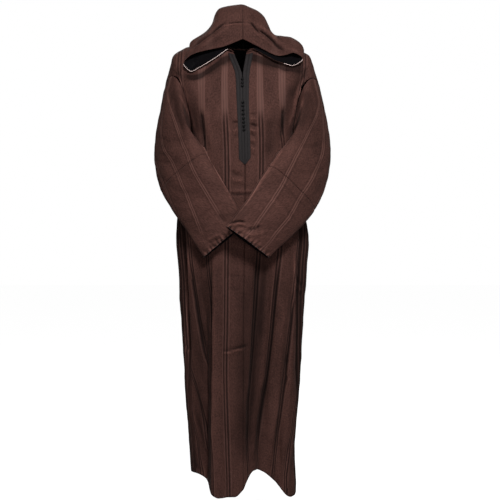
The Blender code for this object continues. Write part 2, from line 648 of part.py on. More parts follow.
def neckline(grids, side):
    """The neckline from the top of the slit round to the middle of the back."""
    count = neck_columns()
    front, back = grids[side, "front"], grids[side, "back"]
    return np.concatenate([front[0, : count + 1], back[0, count - 1 :: -1]])


def halved(line):
    """The line with a point added in the middle of each of its steps."""
    middles = (line[:-1] + line[1:]) / 2
    return np.concatenate([line[:1], np.stack([middles, line[1:]], axis=1).reshape(-1, 3)])


def hood_section(row, neck, sign):
    """The points across one half of the hood, from the middle at the top round the fold to the neckline."""
    y_high = row.crown_y + (row.fold_y - row.crown_y) * HOOD_HIGH_REACH
    y_mid = row.crown_y + (row.fold_y - row.crown_y) * HOOD_MID_REACH
    narrow = min(row.fold_x / HOOD_NARROW, 1)
    lean = smoothstep(HOOD_LEAN_FROM, HOOD_LEAN_TO, row.share) * math.pi / 2
    apart_y, apart_z = row.gap / 2 * math.sin(lean), row.gap / 2 * math.cos(lean)
    stand = HOOD_STAND * (HOOD_STAND_MOUTH + (1 - HOOD_STAND_MOUTH) * smoothstep(0, 0.25, row.share))
    knots = np.array([
        (0, row.crown_y, row.crown_z),
        (sign * row.high_x, y_high, row.high_z),
        (sign * row.mid_x, y_mid, row.mid_z),
        (sign * (row.fold_x - HOOD_FOLD_OVER * narrow), row.fold_y + apart_y, row.fold_z + apart_z),
        (sign * row.fold_x, row.fold_y, row.fold_z),
        (sign * (row.fold_x - HOOD_FOLD_UNDER * narrow), row.fold_y - apart_y, row.fold_z - apart_z),
        (sign * row.low_x, row.low_y, row.low_z),
        neck + np.array([0, 0, stand]),
        neck + np.array([0, 0, CLOTH + SEAM_GAP]),
    ])
    steps = np.maximum(np.linalg.norm(np.diff(knots, axis=0), axis=1), 1e-4)
    length = np.concatenate([[0], np.cumsum(steps)])
    over = through(length, knots, np.linspace(0, length[4], HOOD_CURVE_POINTS))
    under = through(length, knots, np.linspace(length[4], length[-1], HOOD_CURVE_POINTS))
    over = along(over, np.append(np.linspace(0, 1 - HOOD_TURN, HOOD_OVER_COLUMNS), 1))
    under = along(under, np.insert(np.linspace(HOOD_TURN, 1, HOOD_UNDER_COLUMNS), 0, 0))
    return np.concatenate([over, under[1:]])


def hoods(grids, tree):
    """Both halves of the hood, resting clear of the body, with the normals that they share on their seam."""
    made = {}
    for side in SIDES:
        grid = hood_half(grids, side)
        grid[:, :-1] = kept_clear(grid[:, :-1], tree, CLOTH / 2 + CLEAR)
        grid[:, 0, 0] = 0
        grid[-1, :, 0] = 0
        normal = normals_of(grid)
        normal[:, 0, 0] = 0
        normal[-1, :, 0] = 0
        grid = step_in(step_in(grid, "first", SEAM_GAP / 2), "bottom", SEAM_GAP / 2)
        made["hood_" + side] = grid, unit(normal)
    return made


def between_rows(rows, places):
    """Rows of points at places that may lie between the given rows."""
    low = np.minimum(np.asarray(places).astype(int), len(rows) - 2)
    share = (places - low).reshape((-1,) + (1,) * (rows.ndim - 1))
    return rows[low] * (1 - share) + rows[low + 1] * share


def braid(grid, normal):
    """A strip of braid beside the slit, made from the first two columns of a front panel."""
    strip, ways = grid[:, :2], normal[:, :2]
    heights = (-BRAID_END_Z - BRAID_POINT, -BRAID_END_Z)
    shoulder, end = np.interp(heights, -strip[:, 0, 2], np.arange(len(strip)))
    places = np.array([BRAID_TOP_ROW, *range(1, int(shoulder) + 1), shoulder, end])
    strip, ways = between_rows(strip, places), between_rows(ways, places)
    strip[-1, 1] = strip[-1, 0] + (strip[-1, 1] - strip[-1, 0]) * BRAID_TIP_SHARE
    return step_in(strip, "first", SEAM_GAP / 2), unit(ways)


def knots(grids, normals):
    """The round knots that close the slit, in front of the braid."""
    edge, ways = grids["left", "front"][:, 0], normals["left", "front"][:, 0]
    places = np.interp([-z for z in KNOT_HEIGHTS], -edge[:, 2], np.arange(len(edge)))
    height = CLOTH / 2 + BRAID_GAP + BRAID_THICK + SEAM_GAP + KNOT_DEEP
    centres = between_rows(edge, places) + unit(between_rows(ways, places)) * height
    for number, centre in enumerate(centres, 1):
        bpy.ops.mesh.primitive_uv_sphere_add(segments=8, ring_count=6, radius=1, location=centre)
        knot = bpy.context.object
        knot.name = f"knot_{number:02d}"
        knot.scale = (KNOT_WIDE, KNOT_DEEP, KNOT_HIGH)
        bpy.ops.object.transform_apply(location=True, rotation=True, scale=True)
        bpy.ops.object.shade_smooth()
        knot.data.materials.append(material(knot.name, KNOT_LOOK))
        place_in_collection(knot)


def place_in_collection(piece):
    """Puts a piece in a collection of its own name."""
    for old in list(piece.users_collection):
        old.objects.unlink(piece)
    collection = bpy.data.collections.new(piece.name)
    bpy.context.scene.collection.children.link(collection)
    collection.objects.link(piece)


def main():
    reset_scene()
    grids, normals = body_quarters()
    tree = surface_tree(grids, normals)
    for name, (grid, normal, without) in body_panels(grids, normals).items():
        wall(name, grid, normal, CLOTH_LOOK, without=without)
    for side in SIDES:
        for part, (grid, normal) in zip(("upper", "lower"), sleeves(grids, normals, tree, side)):
            wall(f"sleeve_{part}_{side}", grid, normal, CLOTH_LOOK, closed=True)
        grid, normal = braid(grids[side, "front"], normals[side, "front"])
        lift = CLOTH / 2 + BRAID_GAP + BRAID_THICK / 2
        wall("braid_" + side, grid, normal, BRAID_LOOK, thickness=BRAID_THICK, lift=lift)
    for name, (grid, normal) in hoods(grids, tree).items():
        wall(name, grid, normal, CLOTH_LOOK)
    knots(grids, normals)


def reset_scene():
    for thing in list(bpy.data.objects):
        bpy.data.objects.remove(thing)


main()
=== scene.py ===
"""The looks of a hooded robe of striped cloth, hollow as it hangs when worn, its sleeves folded in front.

+Z is up, the front faces -Y, and the wearer's left side is at +X. All sizes are in metres. The first part
repeats the named sizes and the surfaces of the solids, so that each visible piece lies on the solid that it
replaces. The second part adds the creases, seams, stitches, braid and knots, and the third part the materials
and the studio.
"""

import math
from collections import namedtuple

import bpy
import numpy as np
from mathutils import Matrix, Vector
from mathutils.bvhtree import BVHTree


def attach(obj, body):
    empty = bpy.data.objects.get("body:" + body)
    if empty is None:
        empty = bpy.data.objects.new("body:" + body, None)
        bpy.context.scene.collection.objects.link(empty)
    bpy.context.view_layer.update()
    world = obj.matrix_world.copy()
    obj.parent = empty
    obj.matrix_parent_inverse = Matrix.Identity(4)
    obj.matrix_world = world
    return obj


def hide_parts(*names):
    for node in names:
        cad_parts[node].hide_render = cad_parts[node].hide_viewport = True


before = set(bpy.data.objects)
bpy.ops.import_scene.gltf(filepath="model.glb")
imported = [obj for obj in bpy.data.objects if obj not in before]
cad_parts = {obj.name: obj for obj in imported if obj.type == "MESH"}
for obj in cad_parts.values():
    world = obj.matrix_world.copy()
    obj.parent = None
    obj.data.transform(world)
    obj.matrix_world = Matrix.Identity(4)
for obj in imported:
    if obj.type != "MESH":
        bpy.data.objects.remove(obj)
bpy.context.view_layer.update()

# Driving dimensions, in metres: the cloth, the gaps at its seams, how far loose layers stay off the body, and
# the least values that anything is divided by
CLOTH = 0.002
SEAM_GAP = 0.0003
ARMHOLE_GAP = 0.0008
CLEAR = 0.0045
BESIDE = 0.004
LEAST_SINE = 0.05
LEAST_LENGTH = 1e-12
LEAST_STEP = 1e-4

# The body: the heights of the chest line and the hem, the neckline, and the open slit below it
SHOULDER_Y = 0.008
CHEST_Z = -0.29
HEM_Z = -1.42
NECK_HALF_WIDTH = 0.075
NECK_DIP = {"front": 0.36, "back": 0.22}
SLIT_TOP_Z = -0.010
SLIT_END_Z = -0.115
SLIT_HALF = {"right": 0.030, "left": 0.012}
SLIT_REACH = 0.060

# The braid beside the slit and the knots that close it
BRAID_THICK = 0.0015
BRAID_GAP = 0.0007
BRAID_SHARE = 0.072
BRAID_END_Z = -0.390
BRAID_POINT = 0.018
BRAID_TIP_SHARE = 0.12
BRAID_TOP_ROW = 0.4
KNOT_WIDE = 0.0042
KNOT_HIGH = 0.0034
KNOT_DEEP = 0.0030
KNOT_HEIGHTS = (-0.120, -0.131, -0.142, -0.195, -0.206, -0.219, -0.232, -0.246, -0.258, -0.270, -0.282)

# Sizes of the grids, in cells
BODY_COLUMNS = 19
SIDE_COLUMNS = 4
YOKE_ROWS = 10
SKIRT_ROWS = 17
SLEEVE_CAP_ROWS = 6
UPPER_SLEEVE_ROWS = 4
LOWER_SLEEVE_ROWS = 10
HOOD_OVER_COLUMNS = 9
HOOD_UNDER_COLUMNS = 8

# Which way each side lies along x, and each face along y
SIDES = {"right": -1, "left": 1}
FACES = {"front": -1, "back": 1}

# Where the seam of the side panel runs, as a share of the way from the middle to the side
SIDE_SEAM_TOP = 0.93
SIDE_SEAM_LOW = 0.785
SIDE_SEAM_LOW_Z = -0.60

# The shoulder line from the middle of the neck to the top of the armhole
Shoulder = namedtuple("Shoulder", "share right_x right_z left_x left_z")
SHOULDER = (
    Shoulder(0.00, 0.000, 0.036, 0.000, 0.036),
    Shoulder(0.21, 0.075, 0.033, 0.075, 0.033),
    Shoulder(0.42, 0.150, 0.015, 0.145, 0.014),
    Shoulder(0.60, 0.208, -0.004, 0.198, -0.008),
    Shoulder(0.70, 0.228, -0.025, 0.218, -0.026),
    Shoulder(0.80, 0.238, -0.056, 0.229, -0.056),
    Shoulder(1.00, 0.259, -0.134, 0.257, -0.143),
)

# How the cloth leaves the shoulder line and reaches the chest line, as the two handles of a cubic curve.
# "in" is towards the middle of the body, "out" is away from the shoulder line, to the front or the back.
Yoke = namedtuple("Yoke", "share start_in start_out start_up end_in end_out end_up")
FRONT_YOKE = (
    Yoke(0.00, 0.000, 0.105, 0.004, 0.000, 0.000, 0.130),
    Yoke(0.30, 0.000, 0.102, 0.004, 0.000, 0.006, 0.130),
    Yoke(0.62, -0.004, 0.104, 0.006, 0.000, 0.060, 0.130),
    Yoke(0.80, 0.000, 0.112, 0.040, 0.002, 0.100, 0.120),
    Yoke(1.00, 0.030, 0.120, 0.110, 0.010, 0.104, 0.115),
)
BACK_YOKE = (
    Yoke(0.00, 0.000, 0.100, 0.000, 0.000, 0.004, 0.130),
    Yoke(0.30, 0.000, 0.100, 0.000, 0.000, 0.012, 0.130),
    Yoke(0.62, -0.004, 0.098, 0.002, 0.000, 0.050, 0.130),
    Yoke(0.80, 0.000, 0.100, 0.020, 0.002, 0.084, 0.120),
    Yoke(1.00, 0.020, 0.104, 0.060, 0.010, 0.092, 0.110),
)
YOKES = {"front": FRONT_YOKE, "back": BACK_YOKE}

# The seam down the middle of the front leans a little to the wearer's left
Lean = namedtuple("Lean", "z x")
MIDDLE = (
    Lean(0.04, 0.0), Lean(-0.18, 0.0), Lean(-0.34, 0.0065), Lean(-0.50, 0.0070), Lean(-0.80, 0.0035),
    Lean(-1.46, 0.0030),
)
LEAN_REACH = 0.090

# The outline of the body below the chest line, and the tuck between the front and the side
Level = namedtuple("Level", "z right_half left_half front back tuck")
LEVELS = (
    Level(-0.29, 0.166, 0.164, 0.146, 0.117, 0.000),
    Level(-0.42, 0.172, 0.170, 0.147, 0.110, 0.000),
    Level(-0.52, 0.210, 0.196, 0.142, 0.112, 0.012),
    Level(-0.60, 0.219, 0.214, 0.136, 0.120, 0.026),
    Level(-0.72, 0.212, 0.210, 0.128, 0.128, 0.030),
    Level(-0.84, 0.207, 0.201, 0.121, 0.132, 0.028),
    Level(-0.98, 0.197, 0.194, 0.115, 0.132, 0.016),
    Level(-1.12, 0.190, 0.184, 0.110, 0.130, 0.000),
    Level(-1.28, 0.178, 0.171, 0.107, 0.128, 0.000),
    Level(-1.46, 0.166, 0.174, 0.104, 0.126, 0.000),
)
TUCK_ANGLE = math.radians(68)
TUCK_SPREAD = math.radians(8)
CORNER_X = 0.90
CORNER_Y = 0.84
OUTLINE_POINTS = 240
OUTLINE_HEIGHTS = 70
BELOW_HEM = 0.04
FOLDS_START = 0.02
FOLDS_FULL = 0.30
FOLDS_END = 1.05

# Folds: each lifts the cloth between two lines that run from the fold's top to the hem, deepest at the hem
Fold = namedtuple("Fold", "from_top from_hem from_soft to_top to_hem to_soft top_z hem_depth growth")
FRONT_FOLDS = (
    Fold(-0.113, -0.107, 0.012, 0.044, 0.030, 0.046, -0.56, 0.086, 0.90),
    Fold(0.052, 0.026, 0.014, 0.112, 0.040, 0.012, -0.54, 0.012, 0.30),
    Fold(0.124, 0.052, 0.012, 0.168, 0.098, 0.012, -0.54, 0.016, 0.40),
    Fold(0.172, 0.112, 0.014, 0.260, 0.260, 0.020, -0.70, 0.034, 0.90),
    Fold(-0.176, -0.146, 0.014, -0.130, -0.120, 0.010, -0.60, 0.012, 0.50),
)
BACK_FOLDS = (
    Fold(-0.150, -0.142, 0.016, -0.104, -0.092, 0.020, -0.46, 0.034, 0.80),
    Fold(-0.066, -0.060, 0.018, -0.020, -0.012, 0.018, -0.40, 0.026, 0.80),
    Fold(0.024, 0.020, 0.014, 0.078, 0.064, 0.024, -0.44, 0.038, 0.90),
    Fold(0.110, 0.098, 0.018, 0.164, 0.146, 0.016, -0.50, 0.028, 0.70),
)
FOLDS = {"front": FRONT_FOLDS, "back": BACK_FOLDS}

# The height of the hem along the front and the back, and the level of the outline at which its x is read
Hem = namedtuple("Hem", "x z")
FRONT_HEM = (
    Hem(-0.180, -1.384), Hem(-0.116, -1.394), Hem(-0.096, -1.424), Hem(-0.050, -1.428), Hem(-0.006, -1.414),
    Hem(0.026, -1.358), Hem(0.066, -1.366), Hem(0.110, -1.408), Hem(0.150, -1.450), Hem(0.180, -1.446),
)
BACK_HEM = (
    Hem(-0.180, -1.388), Hem(-0.100, -1.404), Hem(0.000, -1.396), Hem(0.100, -1.408), Hem(0.180, -1.400),
)
HEMS = {"front": FRONT_HEM, "back": BACK_HEM}
HEM_LEVEL = -3

# Each sleeve below its cap, from the upper arm to the cuff, by its outer and inner edges seen from the front
Ring = namedtuple("Ring", "outer_x outer_y outer_z inner_x inner_y inner_z half_depth")
RIGHT_SLEEVE = (
    Ring(-0.282, -0.022, -0.368, -0.128, -0.150, -0.328, 0.037),
    Ring(-0.275, -0.038, -0.422, -0.111, -0.164, -0.364, 0.035),
    Ring(-0.260, -0.054, -0.470, -0.095, -0.176, -0.396, 0.034),
    Ring(-0.235, -0.082, -0.516, -0.070, -0.184, -0.436, 0.033),
    Ring(-0.201, -0.112, -0.567, -0.046, -0.188, -0.474, 0.029),
    Ring(-0.167, -0.136, -0.616, -0.024, -0.188, -0.512, 0.025),
    Ring(-0.142, -0.150, -0.651, -0.008, -0.188, -0.546, 0.022),
    Ring(-0.119, -0.160, -0.683, 0.008, -0.186, -0.578, 0.020),
)
LEFT_SLEEVE = (
    Ring(0.279, -0.026, -0.380, 0.121, -0.152, -0.336, 0.036),
    Ring(0.268, -0.046, -0.438, 0.102, -0.170, -0.372, 0.035),
    Ring(0.252, -0.066, -0.486, 0.082, -0.184, -0.402, 0.033),
    Ring(0.228, -0.094, -0.532, 0.054, -0.200, -0.446, 0.031),
    Ring(0.190, -0.126, -0.580, 0.024, -0.216, -0.492, 0.027),
    Ring(0.151, -0.156, -0.622, -0.002, -0.230, -0.528, 0.024),
    Ring(0.112, -0.178, -0.656, -0.026, -0.240, -0.560, 0.022),
    Ring(0.079, -0.192, -0.684, -0.048, -0.244, -0.590, 0.020),
)
SLEEVE_RINGS = {"right": RIGHT_SLEEVE, "left": LEFT_SLEEVE}
SLEEVE_EDGE = 0.86
CAP_OUTWARD_TOP = 0.034
CAP_BULGE = 0.200
CAP_BULGE_TURN = math.radians(200)
CAP_BULGE_SPREAD = math.radians(50)
CAP_FORWARD = 0.030
CAP_END_STRETCH = 2.4
UNDERARM_TURN = math.radians(228)
EASE_ROUNDS = 3
EASE_SHARE = 0.9
EASE_TURN = math.radians(215)
EASE_SPREAD = math.radians(50)
# The ring at which each sleeve is pieced, and how many rings the seam slants from the inner to the outer edge
PIECING_RING = {"right": 1.5, "left": 2.5}
PIECING_SLANT = {"right": 1.3, "left": 1.1}

# Each half of the hood: rows run from the mouth over the top and down to the point. A row leaves the middle
# at the crown, passes high and mid, turns under at the fold and comes back past low to the neckline.
HoodRow = namedtuple(
    "HoodRow", "share crown_y crown_z high_x high_z mid_x mid_z fold_x fold_y fold_z gap low_x low_y low_z"
)
RIGHT_HOOD = [HoodRow(*row) for row in (
    (0.00, -0.100, 0.015, 0.054, -0.008, 0.122, -0.024, 0.189, -0.104, -0.064, 0.050, 0.122, -0.108, -0.068),
    (0.14, -0.100, 0.062, 0.066, 0.052, 0.116, 0.022, 0.182, -0.084, -0.036, 0.040, 0.118, -0.084, -0.030),
    (0.28, -0.078, 0.112, 0.078, 0.098, 0.106, 0.060, 0.172, -0.044, 0.010, 0.034, 0.118, -0.044, 0.020),
    (0.42, -0.030, 0.143, 0.084, 0.126, 0.106, 0.070, 0.164, 0.004, 0.026, 0.030, 0.114, 0.004, 0.032),
    (0.55, 0.030, 0.138, 0.080, 0.112, 0.108, 0.056, 0.152, 0.056, 0.010, 0.030, 0.110, 0.050, 0.020),
    (0.68, 0.092, 0.084, 0.074, 0.052, 0.108, 0.004, 0.142, 0.100, -0.050, 0.028, 0.100, 0.094, -0.016),
    (0.80, 0.140, -0.020, 0.056, -0.042, 0.086, -0.068, 0.120, 0.134, -0.116, 0.022, 0.078, 0.120, -0.056),
    (0.91, 0.158, -0.150, 0.028, -0.160, 0.046, -0.172, 0.078, 0.146, -0.196, 0.022, 0.048, 0.130, -0.096),
    (1.00, 0.160, -0.256, 0.000, -0.268, 0.000, -0.278, 0.000, 0.151, -0.290, 0.012, 0.000, 0.135, -0.120),
)]
LEFT_HOOD = [HoodRow(*row) for row in (
    (0.00, -0.100, 0.015, 0.050, -0.010, 0.120, -0.040, 0.190, -0.098, -0.048, 0.036, 0.120, -0.106, -0.062),
    (0.14, -0.100, 0.062, 0.052, 0.050, 0.112, 0.014, 0.196, -0.076, -0.016, 0.040, 0.120, -0.080, -0.028),
    (0.28, -0.078, 0.112, 0.060, 0.090, 0.104, 0.040, 0.188, -0.036, 0.010, 0.036, 0.120, -0.040, 0.018),
    (0.42, -0.030, 0.143, 0.064, 0.112, 0.104, 0.046, 0.176, 0.008, 0.022, 0.030, 0.116, 0.006, 0.030),
    (0.55, 0.030, 0.138, 0.066, 0.100, 0.104, 0.042, 0.162, 0.056, 0.010, 0.030, 0.110, 0.050, 0.020),
    (0.68, 0.092, 0.084, 0.072, 0.052, 0.108, 0.004, 0.144, 0.100, -0.050, 0.028, 0.100, 0.094, -0.016),
    (0.80, 0.140, -0.020, 0.056, -0.042, 0.085, -0.068, 0.118, 0.134, -0.116, 0.022, 0.078, 0.120, -0.056),
    (0.91, 0.158, -0.150, 0.028, -0.160, 0.045, -0.172, 0.076, 0.146, -0.196, 0.022, 0.048, 0.130, -0.096),
    (1.00, 0.160, -0.256, 0.000, -0.268, 0.000, -0.278, 0.000, 0.151, -0.290, 0.012, 0.000, 0.135, -0.120),
)]
HOOD_ROWS = {"right": RIGHT_HOOD, "left": LEFT_HOOD}
HOOD_STAND = 0.016
HOOD_STAND_MOUTH = 0.25
HOOD_STAND_SHARE = 0.25
HOOD_HIGH_REACH = 0.30
HOOD_MID_REACH = 0.62
HOOD_FOLD_OVER = 0.022
HOOD_FOLD_UNDER = 0.016
HOOD_FOLD_KNOT = 4
HOOD_NARROW = 0.05
HOOD_CURVE_POINTS = 80
HOOD_TURN = 0.05
HOOD_LEAN_FROM = 0.55
HOOD_LEAN_TO = 0.80

# How finely the visible cloth is divided, in parts of each cell of the solids, and how many columns a closed
# grid runs on past its ends, so that it stays smooth there
BODY_FINE = (12, 4)
SLEEVE_FINE = (8, 6)
HOOD_FINE = (9, 8)
RUN_ON = 3
SHELL = 0.0014

# Rows and columns of the visible grids: where the chest line, the side seam and the sleeve's piecing seam run
FINE_BELOW = YOKE_ROWS * BODY_FINE[0]
FINE_EDGE = (BODY_COLUMNS - SIDE_COLUMNS) * BODY_FINE[1]
SLEEVE_JOIN = (SLEEVE_CAP_ROWS + UPPER_SLEEVE_ROWS) * SLEEVE_FINE[0]

# The photograph's camera, in its own pixels: it looks straight along +Y
PHOTO_CENTRE = 250
PHOTO_FOCAL = 970
CAMERA_X = 0.023
CAMERA_Z = -0.66
CAMERA_DISTANCE = 3.2
SENSOR = 36
PHOTO_WIDTH = 500

# Woven stripes, in groups. Past the last stripe that is seen, more follow at the same spacing.
STRIPE_SPACING = 0.072
FIRST_STRIPE = 0.055
SIDE_FIRST_STRIPE = 0.62
MORE_STRIPES = 12

# Where the stripes of the front lie, as distances from the middle seam, from the chest to the hem
StripeLine = namedtuple("StripeLine", "z first second third fourth fifth")
RIGHT_STRIPES = (
    StripeLine(-0.20, 0.057, 0.131, 0.203, 0.275, 0.347),
    StripeLine(-0.64, 0.056, 0.120, 0.176, 0.232, 0.290),
    StripeLine(-0.90, 0.056, 0.107, 0.140, 0.190, 0.250),
    StripeLine(-1.02, 0.058, 0.106, 0.116, 0.176, 0.220),
    StripeLine(-1.20, 0.054, 0.102, 0.108, 0.130, 0.166),
    StripeLine(-1.38, 0.048, 0.096, 0.101, 0.108, 0.134),
)
LEFT_STRIPES = (
    StripeLine(-0.20, 0.055, 0.126, 0.198, 0.270, 0.342),
    StripeLine(-0.66, 0.046, 0.112, 0.172, 0.236, 0.300),
    StripeLine(-0.86, 0.038, 0.093, 0.156, 0.214, 0.280),
    StripeLine(-0.96, 0.033, 0.084, 0.143, 0.204, 0.270),
    StripeLine(-1.20, 0.020, 0.056, 0.115, 0.160, 0.220),
    StripeLine(-1.38, 0.017, 0.036, 0.093, 0.132, 0.170),
)
STRIPES = {"right": RIGHT_STRIPES, "left": LEFT_STRIPES}

# Creases seen from the front: a smooth line through three places of the photograph, in its pixels, with a
# half width in pixels and a height in steps of CREASE_STEP, which is negative in a trough
Crease = namedtuple("Crease", "x1 y1 x2 y2 x3 y3 width height")
FRONT_CREASES = (
    (210.0, 258, 209.6, 360, 208.0, 474, 2.2, -10.0),
    (212.8, 262, 212.6, 360, 211.4, 478, 1.1, 2.4),
    (200.0, 258, 199.6, 360, 200, 466, 6.5, -6.0),
    (214.6, 258, 214.4, 360, 214, 478, 3.6, 3.0),
    (257.6, 246, 255.2, 330, 251.2, 436, 2.6, -9.0),
    (263.0, 256, 259.6, 330, 254.0, 440, 4.5, -5.0),
    (241.5, 300, 240.0, 400, 239.0, 480, 7.0, -3.6),
    (251.0, 390, 249.8, 425, 249, 470, 2.4, -6.0),
    (268.6, 258, 265.5, 330, 259, 420, 2.2, 1.8),
    (277.6, 256, 271.6, 340, 255.4, 460, 1.8, -8.6),
    (284.0, 280, 279.0, 380, 266, 470, 3.2, 2.4),
    (287.4, 356, 283.4, 388, 272.6, 466, 1.8, -5.5),
    (292.4, 296, 291.0, 334, 285.4, 368, 1.5, -6.5),
    (289.0, 440, 285.0, 462, 281, 484, 1.8, -3.0),
    (294.5, 445, 292.5, 466, 290, 490, 1.4, -2.0),
    (191.5, 268, 195.5, 304, 208, 364, 1.8, -4.6),
    (191.0, 380, 201.0, 412, 209, 438, 2.0, -3.0),
    (194.0, 412, 202.0, 440, 208, 460, 1.6, -2.4),
    (196.0, 372, 203.0, 392, 209, 414, 3.0, 2.0),
    (192.0, 461, 196.0, 466, 202, 472, 1.6, -2.2),
    (184.5, 345, 187.0, 347, 190, 351, 1.2, -2.4),
    (184.5, 350, 187.0, 352, 190, 355, 1.2, 1.8),
    (223.0, 351.4, 234, 349.0, 249, 345, 1.2, -4.4),
    (222.6, 353.4, 233, 351.4, 244, 348.6, 0.9, 6.0),
    (226.0, 276, 234, 275.6, 243, 276, 1.2, -1.4),
    (226.0, 289, 234, 289.4, 243, 289, 1.2, -1.4),
    (229.6, 112, 229.6, 150, 229.6, 192, 0.9, 0.9),
    (227.6, 112, 227.6, 150, 227.6, 192, 0.9, -0.7),
    (257.6, 112, 257.8, 150, 258.2, 186, 0.9, 0.9),
    (260.2, 112, 260.2, 150, 260.6, 184, 0.9, -0.7),
    (229.0, 193.6, 240, 194.2, 254, 193.2, 1.0, -4.0),
    (229.0, 190.8, 240, 191.2, 254, 190.4, 1.1, 3.0),
    (250.0, 124, 253.5, 124.6, 257.6, 126.6, 1.3, -6.0),
    (250.0, 129.6, 253, 130.6, 257, 131.5, 1.1, 4.4),
    (250.0, 133.6, 253, 134.6, 256, 136.5, 1.0, -3.8),
    (250.0, 119.4, 254, 119.0, 257, 120, 1.1, 4.0),
    (250.0, 113.4, 253, 113.8, 256, 115, 1.0, -2.8),
    (250.0, 139.0, 253, 139.6, 256, 141, 1.0, 3.6),
    (250.0, 143.4, 253, 144.0, 256, 145.4, 1.0, -3.2),
    (250.0, 147.8, 253, 148.6, 255.6, 150, 1.0, 3.0),
    (250.0, 153.0, 252.6, 154, 255, 155.4, 1.1, -1.5),
    (250.0, 158.0, 252.6, 158.8, 255, 160, 1.1, 1.5),
    (237.4, 122, 235.4, 122, 232.6, 122.4, 1.1, -4.4),
    (237.4, 130, 235.4, 130.6, 232.6, 131.4, 1.1, 3.6),
    (237.4, 135.4, 235.4, 136, 232.6, 136.8, 1.0, -3.0),
    (239.4, 140.4, 236.6, 141, 233.6, 142, 1.1, 1.5),
    (231.0, 171, 236.0, 174.6, 242, 173.6, 2.0, -5.0),
    (230.0, 178.4, 238.0, 180.4, 243, 180.0, 1.4, 4.0),
    (229.0, 187, 240.0, 186, 250, 187.0, 2.2, -1.6),
    (200.6, 112, 201.4, 128, 203.6, 150, 1.7, -7.0),
    (206.4, 108, 207.6, 126, 212, 148, 2.6, 2.2),
    (283.4, 108, 283.4, 122, 282.0, 140, 1.7, -7.0),
    (277.6, 108, 276.6, 124, 273, 142, 2.6, 2.2),
    (177.0, 70, 175.4, 80, 177, 91, 1.6, -2.0),
    (178.0, 70, 178.0, 84, 184, 100, 5.0, -3.0),
    (302.0, 66, 302.0, 80, 297, 98, 7.0, -6.0),
    (271.0, 116, 270.0, 135, 266, 162, 7.0, -4.0),
    (181.0, 72, 180.4, 84, 184, 98, 2.4, 1.4),
    (308.0, 68, 306.6, 78, 306.6, 88, 1.6, -2.0),
    (303.0, 72, 301.6, 82, 300, 98, 2.4, 1.4),
    (250.0, 262, 247.0, 370, 244, 486, 9.0, -4.5),
    (266.0, 380, 262.0, 420, 258, 470, 6.0, -3.0),
    (188.8, 246, 187.4, 290, 187.0, 336, 1.4, 2.0),
    (299.0, 240, 298.6, 330, 298.0, 400, 2.2, -9.0),
    (297.0, 277, 300.0, 283, 304, 286, 1.4, -2.6),
    (297.0, 288, 300.0, 292, 303, 298, 1.4, -2.2),
    (296.5, 282, 299.5, 288, 303, 292, 1.4, 2.0),
)
RIGHT_SLEEVE_CREASES = (
    (176.0, 84, 171.0, 96, 168, 112, 1.6, -2.0),
    (180.0, 98, 184.0, 116, 193, 134, 2.6, 2.0),
    (173.0, 92, 176.0, 114, 186, 138, 2.2, -2.2),
    (160.0, 138, 170.0, 141, 184, 139, 2.4, -2.2),
    (158.0, 150, 168.0, 152, 182, 147, 2.2, 1.8),
    (157.0, 160, 168.0, 163, 180, 160, 2.0, -1.8),
    (200.0, 152, 190.0, 162, 181, 171, 1.1, -1.2),
    (181.0, 171, 174.0, 179, 166, 186, 1.1, -1.2),
    (170.0, 186, 184.0, 193, 197, 190, 2.4, -2.0),
    (178.0, 206, 192.0, 206, 206, 198, 2.4, 1.8),
    (184.0, 222, 198.0, 218, 212, 206, 2.2, -1.8),
    (196.0, 236, 206.0, 230, 218, 218, 2.0, 1.5),
    (218.0, 214, 222.0, 219, 227, 222, 2.0, -4.0),
    (209.0, 243.0, 215.0, 240.6, 222, 237.0, 1.0, -3.0),
    (207.0, 240.0, 213.0, 237.4, 220, 234.0, 1.0, 2.8),
)
LEFT_SLEEVE_CREASES = (
    (309.0, 92, 314.0, 106, 313, 124, 2.2, -2.0),
    (304.0, 104, 300.0, 120, 292, 134, 2.6, 2.0),
    (326.0, 140, 314.0, 147, 300, 144, 2.4, -2.0),
    (328.0, 152, 316.0, 160, 300, 158, 2.2, 1.7),
    (327.0, 166, 314.0, 173, 297, 170, 2.2, -1.8),
    (268.7, 170, 284.0, 185, 309, 211, 1.1, -1.3),
    (273.0, 195, 291.0, 213, 295, 219, 1.4, -1.6),
    (270.0, 198, 286.0, 214, 290, 222, 1.6, 1.2),
    (262.0, 186, 272.0, 200, 284, 208, 2.6, 1.6),
    (248.0, 204, 262.0, 220, 276, 232, 2.8, -1.6),
    (240.0, 214, 252.0, 228, 268, 242, 3.0, 1.4),
    (230.5, 223.6, 237.5, 221.2, 246, 222.2, 0.9, -7.0),
    (231.0, 227.0, 239.0, 224.0, 247, 226.4, 1.3, 6.5),
    (247.5, 229.4, 254.0, 228.4, 262, 225, 0.9, -7.0),
    (247.0, 234.6, 256.0, 234.4, 266, 230.4, 1.2, 2.8),
)
